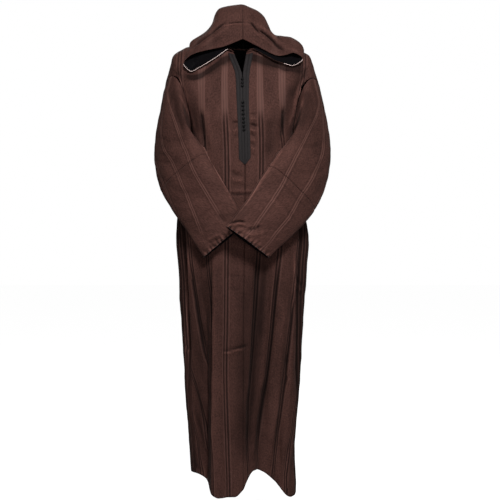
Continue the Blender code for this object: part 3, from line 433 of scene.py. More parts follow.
HOOD_CREASES = (
    (228.0, 23.6, 236.0, 22.4, 243, 22.2, 0.8, -4.5),
    (222.0, 26.0, 237.0, 24.4, 252, 25.0, 0.8, 4.5),
    (225.0, 22, 211.0, 33, 192, 49, 1.1, -7.0),
    (226.0, 28, 211.0, 40, 196, 51, 2.0, 3.6),
    (215.0, 28, 201.0, 42, 188, 53, 1.6, 2.4),
    (250.8, 22.0, 254.6, 26.4, 259.0, 32.6, 1.0, -8.5),
    (258.6, 29.2, 268.4, 36.4, 277.0, 45.4, 0.9, -9.5),
    (274.0, 43.0, 279.0, 47.0, 285.0, 50.0, 1.5, -6.0),
    (251.0, 12.0, 254.4, 17.5, 254.0, 23.0, 3.0, -2.6),
    (256.0, 22.5, 268.0, 32.0, 279.0, 43.0, 2.0, 4.2),
    (252.0, 30.0, 264.0, 39.5, 278.0, 50.0, 1.8, 3.4),
    (266.0, 26, 274.0, 34, 286, 42, 1.4, -2.6),
    (284.0, 41, 292.0, 43, 301, 50, 2.2, -2.6),
    (280.0, 50, 290.0, 49, 300, 53, 1.6, 2.4),
    (224.0, 12, 234.0, 15, 244, 13, 2.4, 1.6),
    (246.0, 18, 254.0, 17, 262, 20, 2.2, -1.8),
)

SLEEVE_CREASES = {"right": RIGHT_SLEEVE_CREASES, "left": LEFT_SLEEVE_CREASES}

# Painted shadows and painted light alone, of the same form: no lift, only cloth painted darker where shadow
# falls, as under the hood, and paler where light falls, as along the edges of the sleeves
FRONT_PAINTED_SHADING = (
    (185.0, 78, 204.0, 74, 222, 65, 3.6, -9.0),
    (186.0, 74.5, 195.0, 78, 206, 72.4, 1.9, -15.0),
    (204.0, 73.6, 215.0, 66, 227, 57, 1.9, -15.0),
    (219.0, 64, 229.0, 59, 238, 60, 4.4, -15.0),
    (247.0, 57, 262.0, 61, 282, 67, 4.4, -15.0),
    (278.0, 67, 291.0, 70, 304, 69, 3.2, -7.0),
    (249.0, 55, 266.0, 61.5, 285, 68, 1.9, -15.0),
    (281.0, 67.5, 293.0, 69, 303, 64, 1.7, -12.0),
    (173.0, 66, 184.0, 84, 190, 98, 7.0, -4.5),
    (299.0, 64, 298.0, 84, 291, 100, 7.0, -5.0),
    (291.0, 82, 287.0, 106, 279, 132, 5.5, -8.0),
    (194.0, 90, 197.0, 112, 203, 134, 4.5, -5.0),
    (175.0, 75, 181.5, 85, 190, 112, 2.2, 16.0),
    (188.0, 106, 192.5, 122, 197, 137, 2.2, 18.0),
    (306.0, 79, 301.5, 87, 296, 102, 2.2, 11.0),
    (297.0, 98, 293.5, 111, 288, 130, 2.0, 14.0),
    (266.0, 256, 264.5, 300, 261, 352, 5.0, -6.5),
    (274.0, 106, 274.0, 132, 267, 160, 5.0, -4.5),
    (217.5, 256, 217.5, 300, 217, 345, 4.5, -4.0),
    (240.0, 225, 240.0, 350, 240, 470, 70.0, -3.4),
    (226.0, 249, 240.0, 245, 258, 252, 9.0, 8.0),
    (188.6, 242, 187.9, 290, 187.6, 340, 1.1, 10.0),
    (185.5, 322, 189.2, 396, 193.6, 474, 4.0, 18.0),
    (187.5, 240, 192.0, 240, 200, 241, 4.0, 16.0),
    (276.0, 239, 286.0, 239, 295, 240, 4.0, 11.0),
    (293.8, 246, 295.8, 320, 295.6, 392, 0.9, 8.0),
)
SLEEVE_PAINTED_SHADING = (
    (176.0, 88, 179.0, 108, 187, 132, 6.0, -9.0),
    (307.0, 88, 304.0, 108, 297, 132, 6.0, -9.0),
    (179.0, 94, 187.5, 112, 196, 134, 0.9, 6.0),
    (194.0, 130, 215.0, 168, 236, 208, 0.8, 8.0),
    (286.0, 143, 268.0, 172, 246, 205, 0.8, 9.0),
    (303.0, 98, 297.6, 117, 284, 146, 1.3, 12.0),
    (235.0, 230, 245.0, 231, 257, 238, 4.5, 5.0),
    (218.0, 216, 230.0, 215, 246, 212, 4.0, -4.5),
    (315.0, 94, 315.0, 115, 308, 136, 7.0, -4.0),
)
HOOD_PAINTED_SHADING = (
    (224.0, 36, 208.0, 45, 188, 60, 6.0, -7.0),
    (262.0, 38, 276.0, 47, 300, 58, 6.0, -6.0),
)

# Creases of the back, as places of x and z in metres, with a half width in metres and a height in those steps
BACK_CREASES = (
    (-0.150, -0.34, -0.130, -0.50, -0.090, -0.62, 0.012, -4.0),
    (0.150, -0.32, 0.128, -0.46, 0.080, -0.60, 0.012, -4.0),
    (-0.165, -0.22, -0.130, -0.28, -0.080, -0.31, 0.011, -3.5),
    (0.168, -0.20, 0.132, -0.25, 0.076, -0.27, 0.011, -3.5),
    (-0.060, -0.46, -0.010, -0.50, 0.060, -0.47, 0.013, 2.6),
    (-0.070, -0.50, -0.010, -0.54, 0.056, -0.52, 0.010, -2.6),
    (-0.105, -0.66, -0.100, -0.96, -0.092, -1.36, 0.010, -4.0),
    (-0.040, -0.60, -0.036, -0.98, -0.034, -1.38, 0.010, -3.4),
    (0.052, -0.62, 0.050, -1.00, 0.042, -1.38, 0.010, -4.0),
    (0.138, -0.60, 0.132, -0.96, 0.124, -1.36, 0.010, -3.4),
)

# How a crease is drawn. It fades over a share of its length to a lower end, and gives painted shade in its
# trough and a painted highlight on its ridge, more in narrow ones.
CREASE_STEP = 0.0012
CREASE_POINTS = 13
CREASE_FADE = 0.22
CREASE_END = 0.25
CREASE_REACH = 3
PIXEL = 0.0033
SHADED_WIDTH = 0.0070
SHADE_LEAST, SHADE_MOST = 0.8, 2.2

# Uneven waves in the cloth: their height, how many times closer they are across and down the cloth, the
# length from one to the next, and the seed of their directions
Wave = namedtuple("Wave", "height across down length seed")
WAVE_COUNT = 7
WAVE_SPREAD = (0.7, 1.6)
BODY_WAVE = Wave(0.0011, 3, 1, 0.11, 5)
BODY_RIPPLE = Wave(0.0004, 1, 1, 0.035, 6)
SLEEVE_WAVES = {"right": Wave(0.0016, 1.6, 0.8, 0.10, 11), "left": Wave(0.0016, 1.6, 0.8, 0.10, 12)}
SLEEVE_RIPPLE = Wave(0.0005, 1, 1, 0.03, 13)
HOOD_WAVES = {"left": Wave(0.0012, 1, 1.4, 0.09, 21), "right": Wave(0.0012, 1, 1.4, 0.09, 22)}
PUCKER = Wave(1, 1, 0.35, 0.010, 31)
PUCKER_LIFT = 0.0007
# The puckers at the cuffs are painted darker in their hollows and paler on their tops: painted shade and
# painted highlight
PUCKER_SHADE = 0.022
PUCKER_REACH = 0.016

# How far from a seam the waves are still calm
CALM_WIDTH = 0.03
SLEEVE_CALM = 0.05
HOOD_CALM = 0.03

# How far the cloth has to face the camera before the creases show on it, and how much of them shows behind
SEEN_BODY = (0.1, 0.6)
SEEN_SLEEVE = (0.05, 0.5)
SEEN_BEHIND = (0.3, 0.8)
BEHIND_SHARE = 0.6
SLEEVE_SHADED = 0.3
SEEN_HOOD = (-0.1, 0.3)
HOOD_TILT = 0.6

# Seams and hems. A cuff line is a low ridge or valley: its height, place above the cuff and width.
SEAM_DEPTH = 0.0011
SEAM_WIDTH = 0.0035
SEAM_LIP = 0.3
SEAM_LIP_AT = 0.008
SEAM_LIP_WIDTH = 0.003
SEAM_OPEN = 0.0005
HEM_WIDTH = 0.022
CUFF_LINES = ((0.0005, 0.004, 0.003), (-0.0006, HEM_WIDTH, 0.002))

# Hand stitches, the rise and fall of one along its length, and the rows and columns that they follow
Stitch = namedtuple("Stitch", "spacing length height")
CUFF_TICK = Stitch(0.010, 0.0032, 0.0011)
HEM_STITCH = Stitch(0.0050, 0.0028, 0.0009)
PIECING_STITCH = Stitch(0.0050, 0.0028, 0.0008)
FRONT_HEM_STITCH = Stitch(0.006, 0.003, 0.0010)
STITCH_PLACES = np.array([0, 0.2, 0.5, 0.8, 1])
STITCH_HEIGHTS = np.array([-0.6, 0.7, 1, 0.7, -0.6])
CUFF_ROW = -4
CUFF_TICK_SHARE = 0.6
HEM_ROW = -3
FACING_ROW = 20
FACING_COLUMN = 2
THREAD_RADIUS = 0.00045
TICK_RADIUS = 0.000675

# Where the rise of a cord is more than this share of its length, its sides are laid out from another axis
STEEP = 0.9

# The stripes along the sleeves, through places of the photograph in its pixels, and how far inside the inner
# edge of each sleeve its last stripe lies. That stripe is set on the fold, where its pale line also stands in
# for a painted highlight along the edge
SLEEVE_STRIPES = {
    "right": (
        ((160, 139), (166, 151), (172, 162), (178, 174), (182, 185), (187, 195), (192, 208), (200, 229),
         (208, 250)),
        ((164, 92), (169, 104), (176, 124), (181, 138), (188, 156), (192, 167), (198, 179), (205, 190),
         (232, 236)),
    ),
    "left": (
        ((324, 152), (318, 165), (312, 178), (307, 188), (300, 197), (292, 214), (275, 234), (268, 245)),
        ((323, 106), (319, 112), (309, 129), (302, 143), (297, 154), (290, 166), (284, 181), (277, 193),
         (250, 233)),
    ),
}
EDGE_STRIPE = {"right": 0.002, "left": 0.008}

# Where round the sleeve its seam behind lies, the rows over which its stripes are evened out, and the
# distances from the cuff between which they fade, with how far they fade
SLEEVE_SEAM = 0.72
STRIPE_EASE = 9
STRIPE_FADE = {"right": (0.04, 0.12, 0.9), "left": (0.03, 0.10, 0.55)}

# The satin stripes get a painted sheen above the chest, and less of it towards the shoulders
SATIN_FROM_Z = -0.262
SATIN_FULL_Z = -0.205
SATIN_WIDE = (0.150, 0.195)
SATIN_LOSS = 0.8

# The hood: its first stripe, a point inside it, and its piping and the strip behind its middle seam
HOOD_FIRST_STRIPE = 0.112
HOOD_MIDDLE = np.array([0, 0.03, -0.10])
PIPING_RADIUS = 0.0009
PIPING_COLUMNS = {"right": (74, 128), "left": (74, 97)}
ALLOWANCE_RADIUS = 0.0012

# The bands of a stripe group, as places and strengths over a reach on each side of its middle: the broad
# satin band of the shoulders, the pale lines and the dark lines. The broad band is a painted sheen, and the
# strengths of each part's lines are painted light: pale lines strong where the satin catches the light, dark
# lines strong where it doesn't
STRIPE_REACH = 0.0140
Bands = namedtuple("Bands", "satin pale dark")
BODY_BANDS = Bands(
    ((0.0, 0.80), (0.62, 0.80), (0.92, 0.0)),
    ((0.0, 0.30), (0.08, 0.30), (0.17, 0.0), (0.60, 0.0), (0.68, 0.42), (0.78, 0.42), (0.90, 0.0)),
    ((0.14, 0.0), (0.24, 0.85), (0.42, 0.85), (0.58, 0.0)),
)
SLEEVE_BANDS = Bands(
    ((0.0, 0.0), (1.0, 0.0)),
    ((0.06, 0.0), (0.15, 0.75), (0.30, 0.75), (0.42, 0.0)),
    ((0.0, 0.40), (0.05, 0.40), (0.12, 0.0), (0.44, 0.0), (0.54, 0.28), (0.70, 0.28), (0.85, 0.0)),
)
HOOD_BANDS = Bands(
    ((0.0, 0.25), (0.62, 0.25), (0.92, 0.0)),
    ((0.0, 0.15), (0.08, 0.15), (0.17, 0.0)),
    ((0.14, 0.0), (0.24, 0.20), (0.42, 0.20), (0.58, 0.0)),
)
# How far the dark lines give way under the painted sheen
SATIN_DULLS = 0.7

# Noise drawn out along the cloth: its rates across, down and through, its detail and roughness, and its share
Fibre = namedtuple("Fibre", "rates detail roughness share")
CLOTH_FIBRES = {
    "streak": Fibre((900, 24, 1), 3.0, 0.5, 0.18),
    "patch": Fibre((11, 7, 1), 3.0, 0.5, 0.22),
    "slub": Fibre((40, 300, 1), 2.0, 0.6, 0.12),
    "grain": Fibre((240, 190, 1), 2.0, 0.6, 0.38),
    "speck": Fibre((520, 360, 1), 2.0, 0.7, 0.10),
}
RIPPLE = Fibre((60, 22, 1), 3.0, 0.6, 1.0)
SMALL_PUCKER = Fibre((150, 90, 1), 2.0, 0.6, 1.0)
BRAID_FIBRE = Fibre((1400, 1400, 1), 3.0, 0.7, 0.20)
BRAID_PATCH = Fibre((260, 140, 1), 2.0, 0.6, 0.50)
THREAD_FIBRE = Fibre((900, 900, 900), 3.0, 0.65, 0.2)
FLOOR_GRAIN = Fibre((3, 3, 3), 3.0, 0.5, 1.0)

# The weave, by the shares of its ribs, its cross ribs, its specks and its stripes, and each bump's distance
# and strength
WEAVE_SPACING = 0.0013
CROSS_RATE = 2.6
WEAVE_SHARES = (0.5, 0.25, 1.6, -0.5)
RIPPLE_BUMP = (0.0030, 0.7)
PUCKER_BUMP = (0.0009, 0.6)
WEAVE_BUMP = (0.00022, 0.55)
BRAID_BUMP = (0.0002, 0.6)
THREAD_BUMP = (0.0003, 0.7)

# Colours as linear red, green and blue
CLOTH_BASE = (0.040, 0.0176, 0.0142)
CLOTH_PALE = (0.080, 0.038, 0.031)
CLOTH_DARK = (0.009, 0.0042, 0.0037)
# The side panels' cloth is made darker than the rest: painted shade for the sides that turn away from the
# light
SIDE_PAINTED_SHADE = 0.33
# The inner side of the cloth is near black: painted shade for the dark inside of the hood and sleeves
INSIDE_PAINTED_SHADE = (0.0008, 0.0006, 0.0010)
SHEEN_TINT = (0.95, 0.72, 0.66)
BRAID_LOW = (0.0004, 0.0003, 0.0004)
BRAID_HIGH = (0.0098, 0.0070, 0.0074)
KNOT_COLOUR = (0.0007, 0.0006, 0.0007)
LOOP_COLOUR = (0.0060, 0.0052, 0.0056)
PIPING_COLOUR = (0.42, 0.33, 0.31)
THREAD_COLOUR = (0.050, 0.026, 0.021)
TICK_COLOUR = (0.055, 0.050, 0.052)

# How the colours vary: the cloth's mottle, and the painted shade of its troughs and painted highlight of its
# ridges for each metre of lift. Contrasts give the places of a noise with the shade, colour or factor there.
CLOTH_MOTTLE = 0.50
CLOTH_CONTRAST = ((0.40, 0.0), (0.60, 1.0))
RELIEF_SHADE = 55
RELIEF_DARKEST = 0.25
# The braid's relief darkens its colour between the cords: painted shade
BRAID_PAINTED_SHADE_SHARE = 0.55
BRAID_COLOURS = ((0.30, BRAID_LOW), (1.0, BRAID_HIGH))
THREAD_CONTRAST = ((0.3, 0.55), (0.7, 1.35))
FLOOR_CONTRAST = ((0.3, 0.97), (0.7, 1.0))

# How rough and how shiny each material is
CLOTH_ROUGH = 0.84
SATIN_ROUGH = -0.26
STREAK_ROUGH = -0.10
CLOTH_SPECULAR = 0.05
SHEEN = 0.015
SHEEN_ROUGH = 0.45
BRAID_ROUGH = 0.52
BRAID_FIBRE_ROUGH = 0.25
BRAID_SPECULAR = 0.12
TURNED_IN_ROUGH = 0.8
PIPING_ROUGH = 0.6
KNOT_ROUGH = 0.42
LOOP_ROUGH = 0.45
THREAD_ROUGH = 0.5
THREAD_SPECULAR = 0.15
FLOOR_ROUGH = 0.9

# The plaited braid. Its tracks are rounded by a power, and stitches go over and over its outer edge.
BRAID_ROWS = 620
BRAID_COLUMNS = 29
BRAID_TRACKS = 2
BRAID_ROUND = 0.6
BRAID_RELIEF = 0.0009
BRAID_SUNK = 0.4
BRAID_WIDTH = 0.02
BRAID_SOLID = 0.8
CHEVRON_SPACING = 0.0032
CHEVRON_SLANT = 1.6
CHEVRON_SHARE = 0.65
OVERCAST_SPACING = 0.0046
OVERCAST_REACH = 0.10
OVERCAST_LIFT = 0.0005
OVERCAST_OUT = 0.0007

# The woven knots: the cord goes three times round a ball while it swings four times up and down
KNOT_POINTS = 132
KNOT_ROUNDS = 3
KNOT_WAVES = 4
KNOT_SWING = 0.95
KNOT_WEAVE = 0.12
KNOT_PATH = 0.80
KNOT_CORD = 0.00115

# The loops that hold the knots: an open ring that slants down to one side
LOOP_TURN = 0.75 * math.pi
LOOP_POINTS = 15
LOOP_WIDE = 0.0056
LOOP_HIGH = 0.0032
LOOP_SLANT = 0.0030
LOOP_BACK = 0.0002
LOOP_BEHIND = 0.8 * KNOT_DEEP
LOOP_CORD = 0.0007

# The studio: a floor that glows for the camera, a sky that is dim but white to the camera, and soft lamps
FLOOR_Z = -1.495
FLOOR_SIZE = 40
FLOOR_COLOUR = 0.30
FLOOR_GLOW = 0.95
SKY_SEEN = 1.0
SKY_FROM = -0.2
SKY_LOW = 0.05
SKY_HIGH = 0.16
Light = namedtuple("Light", "name power size x y z aim_z")
LIGHTS = (
    Light("key", 128, 0.6, 0.30, -2.5, 1.0, -0.5),
    Light("front", 30, 0.8, 0.15, -3.4, -0.5, -0.8),
    Light("back", 60, 1.6, -0.3, 3.0, 1.6, -0.6),
)

# A fine piece of the body with what is drawn on it
Surface = namedtuple("Surface", "points ways lift count across down shade")


def smoothstep(low, high, value):
    """0 up to low, 1 from high on, and a smooth rise between them."""
    share = np.clip((value - low) / (high - low), 0, 1)
    return share * share * (3 - 2 * share)


def bell(distance, width):
    """1 at a distance of 0, falling smoothly to nothing on both sides."""
    return np.exp(-((distance / width) ** 2))


def cubic(t, start, start_slope, end, end_slope):
    """A cubic curve between two ends with given slopes, at t from 0 to 1."""
    return (
        (2 * t**3 - 3 * t**2 + 1) * start
        + (t**3 - 2 * t**2 + t) * start_slope
        + (3 * t**2 - 2 * t**3) * end
        + (t**3 - t**2) * end_slope
    )


def through(keys, values, at):
    """A smooth curve through values at keys, read at the places in at."""
    keys, values, at = (np.asarray(part, float) for part in (keys, values, at))
    flat = values.reshape(len(keys), -1)
    slopes = np.gradient(flat, keys, axis=0)
    place = np.clip(np.searchsorted(keys, at, side="right") - 1, 0, len(keys) - 2)
    width = keys[place + 1] - keys[place]
    t = ((np.clip(at, keys[0], keys[-1]) - keys[place]) / width)[..., None]
    width = width[..., None]
    read = cubic(t, flat[place], width * slopes[place], flat[place + 1], width * slopes[place + 1])
    return read.reshape(at.shape + values.shape[1:])


def column(table, name):
    """One named value from each row of a table."""
    return np.array([getattr(row, name) for row in table])


def read_table(table, key, names, at):
    """Smooth curves through the named values of a table against its key, read at the places in at."""
    order = sorted(table, key=lambda row: getattr(row, key))
    values = np.stack([column(order, name) for name in names], axis=1)
    return through(column(order, key), values, at)


def lengths(points, axis=0):
    """How far each point lies along its line, for lines that run along the given axis of the array."""
    steps = np.linalg.norm(np.diff(points, axis=axis), axis=-1)
    start = np.zeros_like(np.take(steps, [0], axis=axis))
    return np.concatenate([start, np.cumsum(steps, axis=axis)], axis=axis)


def at_lengths(places, length, line):
    """Points of a line at the given places along its length."""
    return np.stack([np.interp(places, length, line[:, k]) for k in range(3)], axis=1)


def along(points, shares):
    """Points at the given shares of the length of a fine line of points."""
    length = lengths(points)
    return at_lengths(shares * length[-1], length, points)


def unit(vectors):
    """The vectors, made 1 long."""
    return vectors / np.maximum(np.linalg.norm(vectors, axis=-1, keepdims=True), LEAST_LENGTH)


def fold_lift(folds, x, z):
    """How far the folds lift the cloth at x, at height z."""
    lift = np.zeros_like(x)
    for fold in folds:
        down = np.clip((fold.top_z - z) / (fold.top_z - HEM_Z), 0, FOLDS_END)
        start = fold.from_top + (fold.from_hem - fold.from_top) * down
        end = fold.to_top + (fold.to_hem - fold.to_top) * down
        shape = smoothstep(start - fold.from_soft, start + fold.from_soft, x)
        shape = shape * (1 - smoothstep(end - fold.to_soft, end + fold.to_soft, x))
        lift = lift + fold.hem_depth * down**fold.growth * shape
    return lift


def section(z, side, face):
    """A fine line round a quarter of the body at height z, from the middle of its face to the side."""
    half, depth, tuck = read_table(LEVELS, "z", (side + "_half", face, "tuck"), np.array([z]))[0]
    turn = np.linspace(0, math.pi / 2, OUTLINE_POINTS)
    x = half * np.sin(turn) ** CORNER_X
    y = depth * np.cos(turn) ** CORNER_Y
    inward = tuck * bell(turn - TUCK_ANGLE, TUCK_SPREAD) * (face == "front")
    x, y = x - inward * np.sin(turn), y - inward * np.cos(turn)
    lift = fold_lift(FOLDS[face], SIDES[side] * x, z) * smoothstep(FOLDS_START, FOLDS_FULL, np.cos(turn))
    return np.stack([SIDES[side] * x, FACES[face] * (y + lift), np.full_like(x, z)], axis=1)


def quarter(side, face):
    """The middle surface of a quarter of the body: rows down from the shoulder line, columns outwards."""
    grid = np.concatenate([yoke(side, face), skirt(side, face)])
    if face == "front":
        lean = read_table(MIDDLE, "z", ("x",), grid[..., 2])[..., 0]
        grid[..., 0] += lean * bell(grid[..., 0], LEAN_REACH)
        slit = SLIT_HALF[side] * smoothstep(SLIT_END_Z, SLIT_TOP_Z, grid[..., 2])
        grid[..., 0] += SIDES[side] * slit * bell(grid[..., 0], SLIT_REACH)
    return grid


def yoke(side, face):
    """The rows of a quarter of the body from the shoulder line and the neckline to the chest line."""
    shares = shoulder_shares()
    ridge = read_table(SHOULDER, "share", (side + "_x", side + "_z"), shares)
    start = np.stack([SIDES[side] * ridge[:, 0], np.full_like(shares, SHOULDER_Y), ridge[:, 1]], axis=1)
    end = along(section(CHEST_Z, side, face), column_shares(CHEST_Z))
    handles = read_table(YOKES[face], "share", Yoke._fields[1:], shares)
    turned = np.array([-SIDES[side], FACES[face], 1])
    first, second = start + handles[:, :3] * turned, end + handles[:, 3:] * turned
    dip = np.sqrt(np.clip(1 - (ridge[:, 0] / NECK_HALF_WIDTH) ** 2, 0, 1)) * NECK_DIP[face]
    down = np.linspace(0, 1, YOKE_ROWS + 1)[:, None]
    t = (dip + (1 - dip) * down)[..., None]
    return (1 - t) ** 3 * start + 3 * (1 - t) ** 2 * t * first + 3 * (1 - t) * t**2 * second + t**3 * end


def shoulder_shares():
    """The columns of a quarter along the shoulder line, the first as wide as the braid."""
    return np.concatenate([[0], np.linspace(BRAID_SHARE, 1, BODY_COLUMNS)])


def column_shares(z):
    """The columns of a quarter at height z, as shares of the way to the side. One follows the side seam."""
    seam = SIDE_SEAM_TOP + (SIDE_SEAM_LOW - SIDE_SEAM_TOP) * smoothstep(CHEST_Z, SIDE_SEAM_LOW_Z, z)
    beside = np.linspace(seam, 1, SIDE_COLUMNS + 1)[1:]
    return np.concatenate([[0], np.linspace(BRAID_SHARE, seam, BODY_COLUMNS - SIDE_COLUMNS), beside])


def skirt(side, face):
    """The rows of a quarter of the body below the chest line."""
    heights = np.linspace(CHEST_Z, HEM_Z - BELOW_HEM, OUTLINE_HEIGHTS)
    fine = np.stack([along(section(z, side, face), column_shares(z)) for z in heights])
    hem_z = through(column(HEMS[face], "x"), column(HEMS[face], "z"), fine[HEM_LEVEL][:, 0])
    rows = []
    for down in np.linspace(0, 1, SKIRT_ROWS + 1)[1:]:
        z = CHEST_Z + (hem_z - CHEST_Z) * down
        place = np.clip((z - heights[0]) / (heights[-1] - heights[0]), 0, 1) * (len(heights) - 1)
        low = np.minimum(place.astype(int), len(heights) - 2)
        share = (place - low)[:, None]
        columns = np.arange(BODY_COLUMNS + 1)
        rows.append(fine[low, columns] * (1 - share) + fine[low + 1, columns] * share)
    return np.array(rows)


def normals_of(grid, closed=False):
    """The normals of a grid of points, rows running down and columns running across."""
    down = np.gradient(grid, axis=0)
    if closed:
        across = (np.roll(grid, -1, axis=1) - np.roll(grid, 1, axis=1)) / 2
    else:
        across = np.gradient(grid, axis=1)
    return unit(np.cross(down, across))


def body_quarters():
    """The four quarters of the body with their outward normals, which neighbours share along their seams."""
    grids, normals = {}, {}
    for side, sign in SIDES.items():
        for face, toward in FACES.items():
            grids[side, face] = grid = quarter(side, face)
            normals[side, face] = -sign * toward * normals_of(grid)
    for face in FACES:
        right, left = normals["right", face], normals["left", face]
        middle = right[:, 0] + left[:, 0]
        middle[:, 0] = 0
        right[:, 0] = left[:, 0] = unit(middle)
    on_shoulder = slice(neck_columns(), None)
    for side in SIDES:
        front, back = normals[side, "front"], normals[side, "back"]
        front[YOKE_ROWS:, -1] = back[YOKE_ROWS:, -1] = unit(front[YOKE_ROWS:, -1] + back[YOKE_ROWS:, -1])
        front[0, on_shoulder] = back[0, on_shoulder] = unit(front[0, on_shoulder] + back[0, on_shoulder])
    return grids, normals


def neck_columns():
    """How many columns of a quarter start at the neckline instead of on the shoulder line."""
    x = read_table(SHOULDER, "share", ("left_x",), shoulder_shares())[:, 0]
    return int(np.sum(x < NECK_HALF_WIDTH))


def step_in(grid, edge, distance):
    """The grid with one edge moved towards its middle, to leave the gap of a seam."""
    grid = grid.copy()
    lines = grid if edge in ("top", "bottom") else np.swapaxes(grid, 0, 1)
    last, inner = (0, 1) if edge in ("top", "first") else (-1, -2)
    lines[last] += distance * unit(lines[inner] - lines[last])
    return grid


def joint_shift(loop, inwards, outwards, onwards):
    """How the edge of a sleeve moves off the edge of the body that it is sewn to, to keep their walls apart.

    Where the sleeve folds back over the body it moves off the body's face, and elsewhere along its surface.
    """
    half = CLOTH / 2
    along_seam = unit(np.roll(loop, -1, axis=0) - np.roll(loop, 1, axis=0))
    away, inwards = (
        unit(way - along_seam * np.sum(way * along_seam, axis=1, keepdims=True))
        for way in (unit(onwards - loop), inwards)
    )
    cosine = np.sum(away * inwards, axis=1, keepdims=True)
    sine = np.maximum(np.sqrt(np.clip(1 - cosine**2, 0, 1)), LEAST_SINE)
    off_face = half * (1 + cosine) + ARMHOLE_GAP
    off_end = (half * sine + ARMHOLE_GAP) / np.maximum(-cosine, LEAST_SINE)
    return np.where(cosine > 0, outwards * off_face, away * np.minimum(off_face / sine, off_end))


def armhole(parts, side, place=-1):
    """A line round the armhole from the shoulder down the front to the underarm and up the back."""
    front, back = parts[side, "front"], parts[side, "back"]
    return np.concatenate([front[: YOKE_ROWS + 1, place], back[YOKE_ROWS - 1 : 0 : -1, place]])


def sleeve_rings(side, turns):
    """The rings of a sleeve below its cap, each a flattened loop from the outer edge over the front."""
    table = SLEEVE_RINGS[side]
    outer, inner = (
        np.stack([column(table, edge + axis) for axis in "xyz"], axis=1) for edge in ("outer_", "inner_")
    )
    middle, half = (outer + inner) / 2, (outer - inner) / 2
    forward = unit(np.cross(np.gradient(middle, axis=0), half))
    forward *= -np.sign(forward[:, 1:2])
    across, ahead = (np.sign(part) * np.abs(part) ** SLEEVE_EDGE for part in (np.cos(turns), np.sin(turns)))
    deep = forward * column(table, "half_depth")[:, None]
    return middle[:, None] + half[:, None] * across[None, :, None] + deep[:, None] * ahead[None, :, None]


def sleeve_turns(columns):
    """The angle of each column round a sleeve, where the half up to the underarm takes over half a turn."""
    return np.interp(np.arange(columns) / columns, (0, 0.5, 1), (0, UNDERARM_TURN, 2 * math.pi))


def sleeve_points(side, loop, places):
    """Points on a sleeve. A place runs from -1 at the armhole to 0 at the end of the cap and on by rings."""
    turns = sleeve_turns(len(loop))
    rings = sleeve_rings(side, turns)
    outward = CAP_OUTWARD_TOP + CAP_BULGE * bell(turns - CAP_BULGE_TURN, CAP_BULGE_SPREAD)
    forward = -CAP_FORWARD * np.maximum(np.sin(turns), 0)
    start = rings[0] - loop + np.stack([SIDES[side] * outward, forward, 0 * turns], axis=1)
    end = (rings[1] - rings[0]) * CAP_END_STRETCH
    points = np.empty(places.shape + (3,))
    for j in range(len(loop)):
        t = np.clip(places[:, j] + 1, 0, 1)[:, None]
        cap = cubic(t, loop[j], start[j], rings[0, j], end[j])
        below = through(np.arange(len(rings)), rings[:, j], np.maximum(places[:, j], 0))
        points[:, j] = np.where(places[:, j, None] < 0, cap, below)
    return points


def eased(grid, turns):
    """The rows of a sleeve with the cloth under the arm smoothed. The first and last rows stay."""
    grid = grid.copy()
    share = EASE_SHARE * bell(turns - EASE_TURN, EASE_SPREAD)[:, None]
    for _ in range(EASE_ROUNDS):
        beside = (np.roll(grid, 1, axis=1) + np.roll(grid, -1, axis=1)) / 2
        average = (grid[:-2] + grid[2:]) / 4 + beside[1:-1] / 2
        grid[1:-1] += share * (average - grid[1:-1])
    return grid


def sleeves(grids, body_normals, tree, side):
    """The two parts of a sleeve, above and below the seam where it is pieced."""
    loop = armhole(grids, side)
    turns = sleeve_turns(len(loop))
    last = len(SLEEVE_RINGS[side]) - 1
    seam = PIECING_RING[side] + PIECING_SLANT[side] * np.cos(turns) / 2
    cap = np.linspace(-1, 0, SLEEVE_CAP_ROWS + 1)[:-1, None] * np.ones(len(loop))
    upper = np.concatenate([cap, np.linspace(0, 1, UPPER_SLEEVE_ROWS + 1)[:, None] * seam])
    lower = seam + np.linspace(0, 1, LOWER_SLEEVE_ROWS + 1)[:, None] * (last - seam)
    upper = sleeve_points(side, loop, upper)
    upper[: SLEEVE_CAP_ROWS + 2] = eased(upper[: SLEEVE_CAP_ROWS + 2], turns)
    upper[1:] = kept_clear(upper[1:], tree)
    lower = kept_clear(sleeve_points(side, loop, lower), tree)
    whole = np.concatenate([upper, lower[1:]])
    normals = normals_of(whole, closed=True)
    normals *= np.sign(np.sum(normals[-1, 0] * (whole[-1, 0] - whole[-1].mean(axis=0))))
    inwards = unit(armhole(grids, side, -2) - loop)
    upper[0] += joint_shift(loop, inwards, armhole(body_normals, side), upper[1])
    upper = step_in(upper, "bottom", SEAM_GAP / 2)
    lower = step_in(lower, "top", SEAM_GAP / 2)
    split = SLEEVE_CAP_ROWS + UPPER_SLEEVE_ROWS
    return (upper, normals[: split + 1]), (lower, normals[split:])


def surface_tree(grids, normals):
    """A search tree over the outer faces of the body, with the normal of each face."""
    points, faces = [], []
    for (side, face), grid in grids.items():
        start = len(points)
        points += [Vector(point) for point in (grid + normals[side, face] * CLOTH / 2).reshape(-1, 3)]
        corners = (start + cell_corners(*grid.shape[:2])).tolist()
        faces += corners if SIDES[side] * FACES[face] < 0 else [cell[::-1] for cell in corners]
    return BVHTree.FromPolygons(points, faces)


def cell_corners(rows, columns, without=None):
    """The four corners of each cell of a grid, as places in its list of points."""
    i, j = (part.ravel() for part in np.meshgrid(np.arange(rows - 1), np.arange(columns - 1), indexing="ij"))
    if without is not None:
        i, j = i[~without.ravel()], j[~without.ravel()]
    first = i * columns + j
    return np.stack([first, first + columns, first + columns + 1, first + 1], axis=1)


